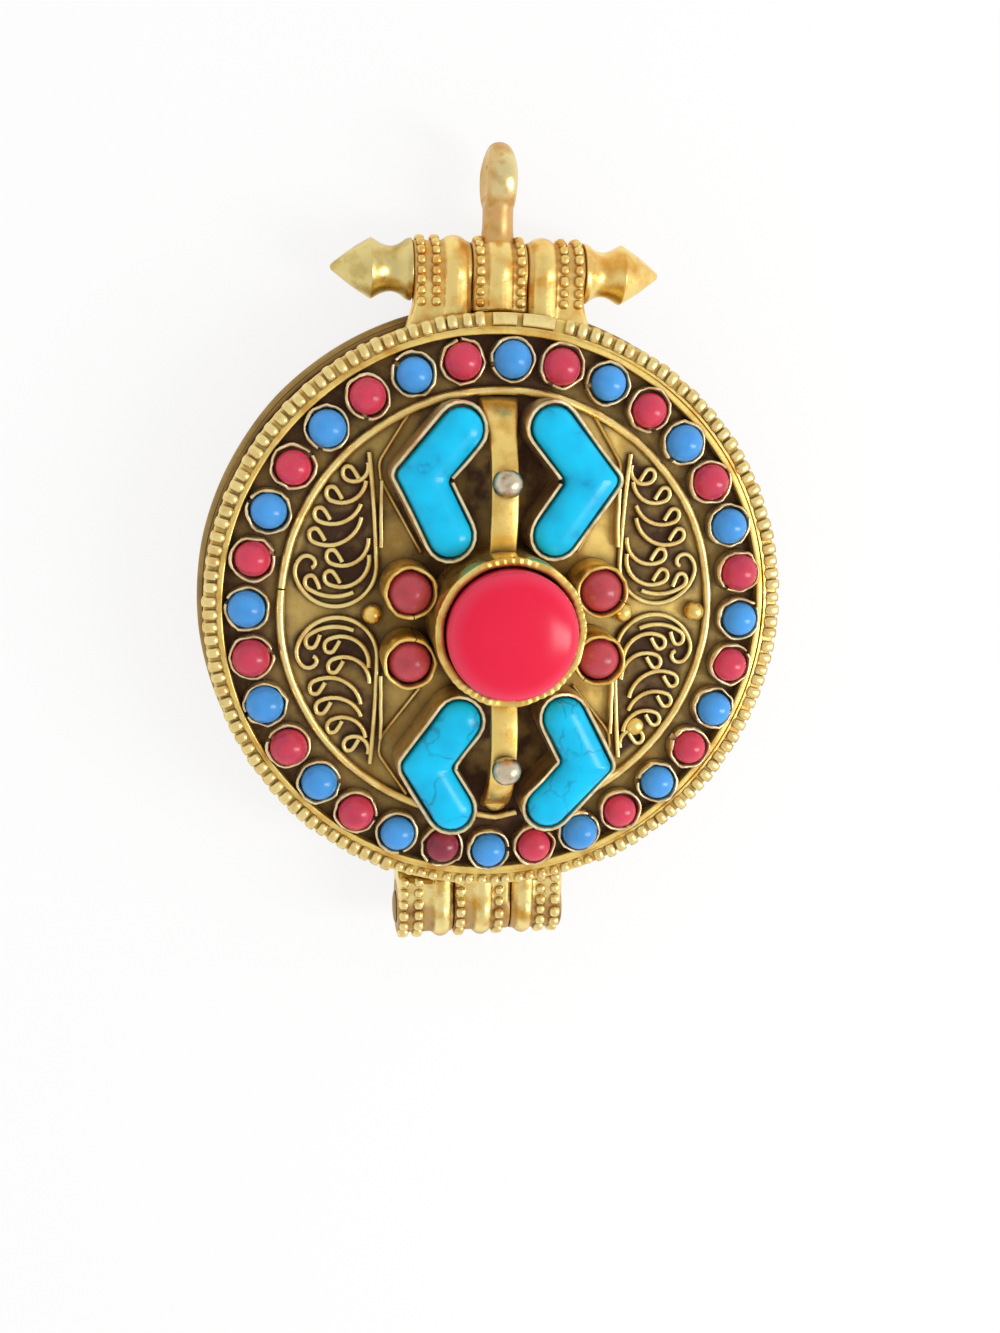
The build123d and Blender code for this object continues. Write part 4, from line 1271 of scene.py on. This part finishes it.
class GHAU_OT_bent_settings(bpy.types.Operator):
    """Four bent turquoise stones in their bezels"""

    bl_idname = "ghau.bent_settings"
    bl_label = "Bent Turquoise"

    def execute(self, context):
        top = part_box("bent_bezel_upper_right")[1].z / MM
        for seed, (quarter, line) in enumerate(BENT_LINES.items()):
            flip = {"mirror_x": quarter.endswith("left"), "mirror_y": quarter.startswith("lower")}
            wall = moved(bent_bezel(line, top, 60 + seed, quarter.startswith("upper")), **flip)
            body = moved(bent_stone(line, top + 0.55, 80 + seed), x=0.08, y=-0.08, **flip)
            bezel, gem = "bent_bezel_" + quarter, "bent_stone_" + quarter
            fitted("turquoise_bezel_" + quarter, [wall], annealed_brass_strip, bezel, crease=50)
            fitted("turquoise_" + quarter, [body], polished_turquoise, gem, crease=60, slot="turquoise")
        return {"FINISHED"}


def bar_path(foot, count):
    """Middle line of a bar's top face: a round arch from the coral's bezel over the crown to its foot."""
    ax, ay, bx, by, cx, cy = *BAR_ROOT, *BAR_CROWN, foot, FACE
    a2, b2, c2 = ax**2 + ay**2, bx**2 + by**2, cx**2 + cy**2
    d = 2 * (ax * (by - cy) + bx * (cy - ay) + cx * (ay - by))
    ux = (a2 * (by - cy) + b2 * (cy - ay) + c2 * (ay - by)) / d
    uy = (a2 * (cx - bx) + b2 * (ax - cx) + c2 * (bx - ax)) / d
    radius = math.hypot(ax - ux, ay - uy)
    start = math.atan2(ay - uy, ax - ux)
    end = math.atan2(cy - uy, cx - ux)
    turns = spaced(start, end, count)
    return [(ux + radius * math.cos(turn), uy + radius * math.sin(turn), turn) for turn in turns]


def bar_strip(foot, flare, lower, shift):
    """A bent strip with soft edges, whose foot spreads by flare on each side."""
    rows = []
    count = 28
    for i, (y, z, turn) in enumerate(bar_path(foot, count)):
        half = BAR_HALF + flare * max(0.0, i / count - 0.72) / 0.28
        corners = [(-half, 0.0, 0.3), (0.0, 0.16, 0.8), (half, 0.0, 0.3)]
        corners += [(half, -BAR_THICK, 0.25), (-half, -BAR_THICK, 0.25)]
        section = softened(corners, True, 3)
        rows.append([(a, y + b * math.cos(turn), max(SEAT, z + b * math.sin(turn))) for a, b in section])
    return moved(skin(rows, round_points=True, ends=True), mirror_y=lower, x=shift, y=FIGURE_Y)


def lump(x, y, z, across, tall, seed, foot=None):
    """A hand-made ball: a turned grain with small dents, and a solder skirt down to its foot."""
    dent = wavy(seed, (2, 3, 4), 0.04 * across)
    phase = random.Random(seed).uniform(0, TAU)
    bends = spaced(-TAU / 4, TAU / 4, 18)
    profile = [(across * math.cos(bend), z + tall * math.sin(bend)) for bend in bends]
    if foot is not None:
        skirt = [(0.0, foot), (across * 0.86, foot), (across * 0.78, foot + 0.18)]
        profile = skirt + [(r, h) for r, h in profile if h > foot + 0.3]
    profile[0] = (0.0, profile[0][1])
    profile[-1] = (0.0, profile[-1][1])

    def dented(radius, height, turn):
        return (dent(turn + phase) if radius > 0 else 0.0), 0.0

    return turned_z(profile, False, 32, x, y, dented)


class GHAU_OT_bars(bpy.types.Operator):
    """Two bent bars over the figure with a ball on each"""

    bl_idname = "ghau.bars"
    bl_label = "Bars and Balls"

    def execute(self, context):
        upper = bar_strip(*UPPER_BAR)
        fitted("upper_bar_strip", [upper], fire_gilt_brass, "upper_bar", crease=60)
        lower = bar_strip(*LOWER_BAR)
        boss = lump(*BAR_BOSS, FACE + 0.8, 1.3, 0.85, 91)
        fitted("lower_bar_strip", [lower, boss], fire_gilt_brass, "lower_bar", crease=60)
        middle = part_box("bar_balls")[1].z / MM - BALL_R
        balls = []
        for i, place in enumerate(BALLS):
            balls.append(lump(*place, middle - 0.05, 1.44, 1.36, 93 + i, middle - 1.3))
        fitted("bar_ball_pair", balls, rubbed_bare_brass, "bar_balls", crease=60, slot="pale_brass")
        return {"FINISHED"}


class GHAU_OT_small_wires(bpy.types.Operator):
    """Bracket wire at the foot, grains between the scrolls and thin partitions"""

    bl_idname = "ghau.small_wires"
    bl_label = "Small Wires and Grains"

    def execute(self, context):
        places = spaced(-BRACKET_HALF, BRACKET_HALF, 16)
        path = [(x, BRACKET_Y + BRACKET_RISE * (abs(x) / BRACKET_HALF) ** 1.3, FACE + 0.36) for x in places]
        bow = tube(path, ring_section(0.36, 0.36, 10))
        fitted("bracket_bow", [bow], rubbed_gilt_wire, "bracket_wire")

        grains = []
        for i, x in enumerate(GRAINS_X):
            grains.append(lump(x, GRAINS_Y, FACE + 0.72, 1.0, 0.92, 101 + i, SEAT))
        grains.append(lump(*SOLDER_BLOB, FACE + 0.3, 0.95, 0.62, 105, SEAT))
        fitted("solder_grains", grains, fire_gilt_brass, "granules", crease=60)

        corners = [(-0.16, -0.05, 0), (0.16, -0.05, 0), (0.16, 0.98, 0.08), (-0.16, 0.98, 0.08)]
        section = softened(corners, True, 2)
        strips = []
        for i, (_, side_x, side_y) in enumerate(QUARTERS):
            sway = wavy(110 + i, (1, 2, 3), 0.12)
            rows = []
            for k in range(13):
                y = PARTITION_LOW + PARTITION_LONG * k / 12
                x = PARTITION_X + sway(k / 3) * 0.6
                rows.append([(side_x * (x + a), side_y * y, FACE + b) for a, b in section])
            strips.append(skin(rows, round_points=True, ends=True))
        fitted("partition_strips", strips, rubbed_gilt_wire, "partitions")

        wires = []
        for far, near, lower in FRAME_WIRES:
            corners = [(*far, 0), (12.05, 14.7, 0.6), (11.85, 12.9, 0.6), (*near, 0)]
            line = softened(corners, False)
            path = []
            for (ax, ay), (bx, by) in zip(line, line[1:]):
                path += [(ax + (bx - ax) * k / 6, ay + (by - ay) * k / 6, FACE + 0.2) for k in range(6)]
            path.append((*near, FACE + 0.2))
            wire = tube(path, ring_section(0.17, 0.26, 8))
            wires += [moved(wire, mirror_x=left, mirror_y=lower) for left in (False, True)]
        fitted("frame_wires", wires, rubbed_gilt_wire)
        return {"FINISHED"}


def bent_line(start, heading, arcs):
    """Points along arcs that follow each other, each a radius and a turn to the left in degrees."""
    x, y = start
    turn = math.radians(heading)
    line = [(x, y)]
    for radius, sweep in arcs:
        steps = max(3, int(abs(sweep) / 12), int(radius * math.radians(abs(sweep)) / 0.5))
        centre_x, centre_y = x - radius * math.sin(turn), y + radius * math.cos(turn)
        for i in range(1, steps + 1):
            now = turn + math.radians(sweep) * i / steps
            line.append((centre_x + radius * math.sin(now), centre_y - radius * math.cos(now)))
        turn += math.radians(sweep)
        x, y = line[-1]
    return line


def scroll_line(eye, tail, tilt):
    """A scroll's line: a bowed tail that runs into a small crook."""
    start_x = eye[0] + SCROLL_EYE * math.sin(math.radians(tilt))
    start_y = eye[1] - SCROLL_EYE * math.cos(math.radians(tilt))
    chord = math.hypot(start_x - tail[0], start_y - tail[1])
    chord_angle = math.degrees(math.atan2(start_y - tail[1], start_x - tail[0]))
    bend = tilt - chord_angle
    tail_arc = (chord / (2 * math.sin(math.radians(bend))), 2 * bend)
    return bent_line(tail, chord_angle - bend, [tail_arc] + CROOK_ARCS)


class GHAU_OT_filigree(bpy.types.Operator):
    """Wire scrolls in four quarters of the face"""

    bl_idname = "ghau.filigree"
    bl_label = "Filigree"

    def execute(self, context):
        s = context.scene.ghau_sizes
        lines = [scroll_line(*scroll) for scroll in SCROLLS] + [bent_line(*OUTLINE)]
        for seed, (quarter, side_x, side_y) in enumerate(QUARTERS):
            draw = random.Random(130 + seed)
            points = []
            edges = []
            for line in lines:
                shift_x, shift_y = draw.uniform(-0.08, 0.08), draw.uniform(-0.08, 0.08)
                height = FACE + 0.27 + draw.uniform(-0.03, 0.04)
                start = len(points)
                shifted = [(FILIGREE_X + x + shift_x, y + shift_y) for x, y in line]
                points += [(side_x * x, side_y * y, height) for x, y in shifted]
                edges += [(i, i + 1) for i in range(start, len(points) - 1)]
            sizes = {"Width": s.wire, "Height": s.wire_tall}
            wires = grown("scrolls_" + quarter, points, wire_tree, rubbed_gilt_wire, edges, **sizes)
            mount(wires, "filigree_" + quarter)
        return {"FINISHED"}


def bulged_tube(start, end, low, high):
    """A knuckle's profile: a tube with a round bulge over a span, and its bore."""
    profile = [(start, BORE_R), (start, PLAIN_R - 0.06), (start + 0.06, PLAIN_R)]
    for share in spaced(0.0, 1.0, 12):
        rise = (TUBE_LOW + BULGE_OUT) * math.sin(math.pi * share) ** 0.7
        profile.append((low + (high - low) * share, PLAIN_R + rise))
    return profile + [(end - 0.06, PLAIN_R), (end, PLAIN_R - 0.06), (end, BORE_R)]


def web_top(y, away):
    """Height of a web so far from its tube's axis; at the hinge it keeps inside a circle about the axis."""
    reach = WEB_REACH if y < 0 else CLASP_REACH
    return AXIS_Z + min(PLAIN_R, math.sqrt(max(0.0, reach**2 - away**2)))


def web(start, end, y, low, wall, flare):
    """A web from a wall to a tube, clear of its bore and as high as it is, whose end spreads to the wall."""
    rows = []
    for share in spaced(0.0, 1.0, 16):
        right = end + flare * max(0.0, 1 - share / 0.58) ** 1.6
        row = []
        for x, z, rise in (
            (start + 0.3, 0, 0), (right - 0.3, 0, 0), (right, 0.3, 0), (right, -0.4, 1),
            (right - 0.35, 0, 1), (start + 0.35, 0, 1), (start, -0.4, 1), (start, 0.3, 0),
        ):
            near = math.sqrt(max(0.0, wall**2 - x**2)) - WALL_SUNK
            place = near + (abs(y) - 0.4 - near) * share
            away = abs(y) - place
            foot = AXIS_Z + math.sqrt(WEB_BORE**2 - away**2) if away < WEB_BORE else low
            crown = max(web_top(y, away) - 0.03, foot + 0.5)
            row.append((x, math.copysign(place, y), (crown if rise else foot) + z))
        rows.append(row)
    return skin(rows, round_points=True, ends=True)


def roll(low, high, y, wall):
    """A round ridge that carries a tube's bulge on along its web to the wall."""
    x = (low + high) / 2
    near = max(math.sqrt(wall**2 - x**2) - WALL_SUNK, abs(y) - 4.4)
    places = spaced(near, abs(y), 12)
    path = [(x, math.copysign(place, y), web_top(y, abs(y) - place) - 0.1) for place in places]
    return tube(path, ring_section((high - low) / 2, TUBE_LOW + BULGE_OUT, 12))


def knuckle(start, end, bulge, y, low, wall, flare=0.0, inset=WEB_INSET):
    """A knuckle's closed parts: its tube, its web to the wall and the ridge along that."""
    barrel = turned_x(bulged_tube(start, end, *bulge), True, TUBE_STEPS, y)
    return [barrel, web(start + WEB_INSET, end - inset, y, low, wall, flare), roll(*bulge, y, wall)]


def bead_bands(places, y, count, bead, seed):
    """Centres of the beads of bands about a tube, which also run a little way along its web."""
    draw = random.Random(seed)
    radius = TUBE_R + BAND_OUT - bead / 2
    side = -1 if y > 0 else 1
    step = TAU / count
    points = []
    for x in places:
        phase = draw.uniform(-0.2, 0.2) * step
        for i in range(count):
            points += about_x([(x, radius)], y, TAU / 4 + i * step + phase)
        points += [(x, y + side * k * radius * step, AXIS_Z + radius - 0.05 * k) for k in (1, 2, 3)]
    return points


def add_knuckles(pieces, maker, passes, slot):
    """Casts and mounts the knuckles of a tube: for each a name, its body, its parts and its nodes."""
    for name, body, parts, nodes in pieces:
        piece = cast(name, parts, maker, passes, bpy.context.scene.ghau_sizes.cast_grain)
        mount(piece, *nodes, body=body, slot=slot)


def add_bands(name, bands, y, count, bead, uneven, maker, slot):
    """Mounts the beaded bands of a tube: for each set its body, its node, its places and a seed."""
    for body, band, places, seed in bands:
        points = bead_bands(places, y, count, bead / MM, seed)
        beads = grown(name + body, points, bead_tree, maker, Bead=bead, Uneven=uneven, Seed=seed)
        mount(beads, band, body=body, slot=slot)


class GHAU_OT_clasp_tube(bpy.types.Operator):
    """Clasp tube: outer knuckles on the lid, middle knuckle on the tray, and their beaded bands"""

    bl_idname = "ghau.clasp_tube"
    bl_label = "Clasp Tube"

    def execute(self, context):
        s = context.scene.ghau_sizes
        outer = knuckle(*CLASP_OUTER, CLASP_Y, LID_WEB_LOW, LID_R, CLASP_FLARE, CLASP_INSET)
        outer += [moved(part, mirror_x=True) for part in outer]
        outer_nodes = ("clasp_knuckle_right", "clasp_knuckle_left", "clasp_saddles_outer")
        middle = knuckle(*CLASP_MIDDLE, CLASP_Y, TRAY_WEB_LOW, TRAY_R)
        pieces = (
            ("clasp_knuckles_lid", "lid", outer, outer_nodes),
            ("clasp_knuckle_tray", "tray", middle, ("clasp_knuckle_mid", "clasp_saddle_mid")),
        )
        add_knuckles(pieces, thick_gilt_tube, 6, "warm_gilt")
        beads = (s.clasp_beads, s.clasp_bead, 0.14, thick_gilt_casting, "warm_gilt")
        add_bands("clasp_beads_", CLASP_BANDS, CLASP_Y, *beads)
        return {"FINISHED"}


class GHAU_OT_hinge_tube(bpy.types.Operator):
    """Hinge tube: outer knuckles on the tray, middle knuckle on the lid, bands and pin"""

    bl_idname = "ghau.hinge_tube"
    bl_label = "Hinge Tube"

    def execute(self, context):
        s = context.scene.ghau_sizes
        outer = knuckle(*HINGE_LEFT, HINGE_Y, TRAY_WEB_LOW, TRAY_R)
        outer += knuckle(*HINGE_RIGHT, HINGE_Y, TRAY_WEB_LOW, TRAY_R)
        outer_nodes = ("hinge_knuckle_left", "hinge_knuckle_right", "hinge_saddles_outer")
        middle = knuckle(*HINGE_MIDDLE, HINGE_Y, LID_WEB_LOW, LID_R)
        pieces = (
            ("hinge_knuckles_tray", "tray", outer, outer_nodes),
            ("hinge_knuckle_lid", "lid", middle, ("hinge_knuckle_mid", "hinge_saddle_mid")),
        )
        add_knuckles(pieces, fire_gilt_tube, 4, "gilt_brass")
        beads = (s.hinge_beads, s.hinge_bead, 0.16, rubbed_gilt_wire, "gilt_brass")
        add_bands("hinge_beads_", HINGE_BANDS, HINGE_Y, *beads)
        profile = [(HINGE_LEFT[0] - x, radius) for x, radius in reversed(PIN_HEAD)]
        profile += [(HINGE_RIGHT[1] + x, radius) for x, radius in PIN_HEAD]
        pin = turned_x(profile, False, 40, HINGE_Y)
        fitted("hinge_pin_riveted", [pin], shaded_tarnished_brass_sheet, "hinge_pin", body="tray")
        return {"FINISHED"}


def finial(socket):
    """A turned finial from its flange to its tip, with its socket."""
    corners = [(FINIAL_CORNERS[0][0], socket, 0)] + FINIAL_CORNERS
    profile = [(SOCKET_END, 0.0), (SOCKET_END, socket)] + softened(corners, False)
    return turned_x(profile, False, 64, CLASP_Y)


class GHAU_OT_clasp_pin(bpy.types.Operator):
    """Clasp pin with its fixed finial, and the finial that screws on its thread"""

    bl_idname = "ghau.clasp_pin"
    bl_label = "Clasp Pin"

    def execute(self, context):
        nut = moved(finial(1.05), mirror_x=True)
        for name, part, maker, body, solid in (
            ("finial_right", finial(1.2), thick_gilt_casting, "clasp_pin", "finial_fixed"),
            ("finial_left", nut, thin_gilt_turning, "finial_nut", "finial_nut"),
        ):
            fitted(name, [part], maker, solid, crease=32, body=body, slot="warm_gilt")
        rows = []
        for turn in around(24):
            profile = [(THREAD_START - 0.05, 0.0)]
            for x in spaced(THREAD_START, THREAD_END, 59):
                wave = (x / THREAD_PITCH + turn / TAU) % 1.0
                profile.append((x, 0.88 + 0.11 * (1 - abs(2 * wave - 1))))
            profile += [(-8.45, 1.0), (-8.45, 1.12), (-8.35, 1.19), (12.7, 1.19), (12.7, 0.0)]
            rows.append(about_x(profile, CLASP_Y, turn))
        pin = skin(rows, round_rows=True)
        fitted("clasp_pin_threaded", [pin], fire_gilt_brass, "clasp_pin", body="clasp_pin", slot="warm_gilt")
        return {"FINISHED"}


class GHAU_OT_bail(bpy.types.Operator):
    """Bail loop on its stem"""

    bl_idname = "ghau.bail"
    bl_label = "Bail"

    def execute(self, context):
        rows = []
        for turn in around(BAIL_STEPS):
            half = BAIL_HALF - BAIL_TAPER * max(0.0, math.cos(turn)) ** 2
            section = [(a, BAIL_R + b) for a, b in ring_section(half, BAIL_THICK, 20)]
            rows.append(about_x(section, BAIL_Y, turn))
        loop = skin(rows, round_rows=True, round_points=True)
        low, rise = BAIL_STEM
        rows = []
        for share in spaced(0.0, 1.0, 18):
            foot = 0.6 * (1 - share) ** 4
            section = ring_section(BAIL_HALF + foot, BAIL_HALF + 0.95 * share**2 + foot, 28)
            rows.append([(a, low + rise * share, AXIS_Z + b) for a, b in section])
        stem = skin(rows, round_points=True, ends=True)
        piece = cast("bail_loop", [loop, stem], rubbed_gilt_bail, 8, context.scene.ghau_sizes.bail_grain)
        mount(piece, "bail", body="tray", slot="warm_gilt")
        return {"FINISHED"}


class GHAU_OT_stage(bpy.types.Operator):
    """White floor, soft studio light and the camera"""

    bl_idname = "ghau.stage"
    bl_label = "Stage"

    def execute(self, context):
        scene = context.scene
        scene.view_settings.view_transform = "Standard"
        board = turned_z([(0, FLOOR_Z), (FLOOR_R, FLOOR_Z)], False, 48)
        floor = shape("floor", [board], finish(studio_board))
        world = bpy.data.worlds.new("studio")
        world.use_nodes = True
        tree = world.node_tree
        tree.nodes.clear()
        sky = node(tree, "ShaderNodeTexCoord", out="Generated")
        height = node(tree, SPLIT, (sky,), "Z")
        fade = node(tree, RANGE, (height, *SKY_FADE), interpolation_type="SMOOTHSTEP")
        light = node(tree, "ShaderNodeBackground", {"Color": (1, 1, 1, 1), "Strength": fade})
        node(tree, "ShaderNodeOutputWorld", {"Surface": light}, None)
        scene.world = world
        data = bpy.data.lights.new("right_softbox", "AREA")
        data.shape = "RECTANGLE"
        data.size, data.size_y = LAMP_SIZE
        data.energy = LAMP_POWER
        lamp = linked("right_softbox", data)
        lamp.location = LAMP_PLACE
        lamp.rotation_euler = (LAMP_AIM - LAMP_PLACE).to_track_quat("-Z", "Y").to_euler()
        data = bpy.data.cameras.new("photo_view")
        data.sensor_width = SENSOR
        data.lens = SENSOR * FOCAL_SHARE
        data.clip_start = 0.005
        data.clip_end = 20.0
        camera = linked("photo_view", data)
        ahead = CAMERA_AHEAD.normalized()
        right = (CAMERA_RIGHT - ahead * CAMERA_RIGHT.dot(ahead)).normalized()
        facing = Matrix((right, right.cross(ahead), -ahead)).transposed()
        camera.matrix_world = Matrix.Translation(CAMERA_PLACE) @ facing.to_4x4()
        scene.camera = camera
        return {"FINISHED"}


OPERATORS = (
    GHAU_OT_tray_shell, GHAU_OT_lid_shell, GHAU_OT_border_wires, GHAU_OT_rim_settings, GHAU_OT_centre_setting,
    GHAU_OT_side_settings, GHAU_OT_bent_settings, GHAU_OT_bars, GHAU_OT_small_wires, GHAU_OT_filigree,
    GHAU_OT_clasp_tube, GHAU_OT_hinge_tube, GHAU_OT_clasp_pin, GHAU_OT_bail, GHAU_OT_stage,
)


class GHAU_PT_box(bpy.types.Panel):
    """Lists the pieces of the box with their sizes and colours"""

    bl_idname = "GHAU_PT_box"
    bl_label = "Ghau Amulet Box"
    bl_space_type = "VIEW_3D"
    bl_region_type = "UI"
    bl_category = "Ghau Box"

    def draw(self, context):
        column = self.layout.column(align=True)
        for piece in OPERATORS:
            column.operator(piece.bl_idname)
        for group in (context.scene.ghau_sizes, context.scene.ghau_colours):
            column = self.layout.column(align=True)
            for name in group.__annotations__:
                column.prop(group, name)


CLASSES = (GhauSizes, GhauColours) + OPERATORS + (GHAU_PT_box,)


def register():
    """Adds the classes and the two groups of properties to Blender."""
    for kind in CLASSES:
        bpy.utils.register_class(kind)
    bpy.types.Scene.ghau_sizes = bpy.props.PointerProperty(type=GhauSizes)
    bpy.types.Scene.ghau_colours = bpy.props.PointerProperty(type=GhauColours)


def unregister():
    """Takes the properties and the classes out of Blender again."""
    del bpy.types.Scene.ghau_colours
    del bpy.types.Scene.ghau_sizes
    for kind in reversed(CLASSES):
        bpy.utils.unregister_class(kind)


def main():
    """Makes the pieces in order."""
    register()
    for piece in OPERATORS:
        group, name = piece.bl_idname.split(".")
        getattr(getattr(bpy.ops, group), name)()


if __name__ == "__main__":
    main()
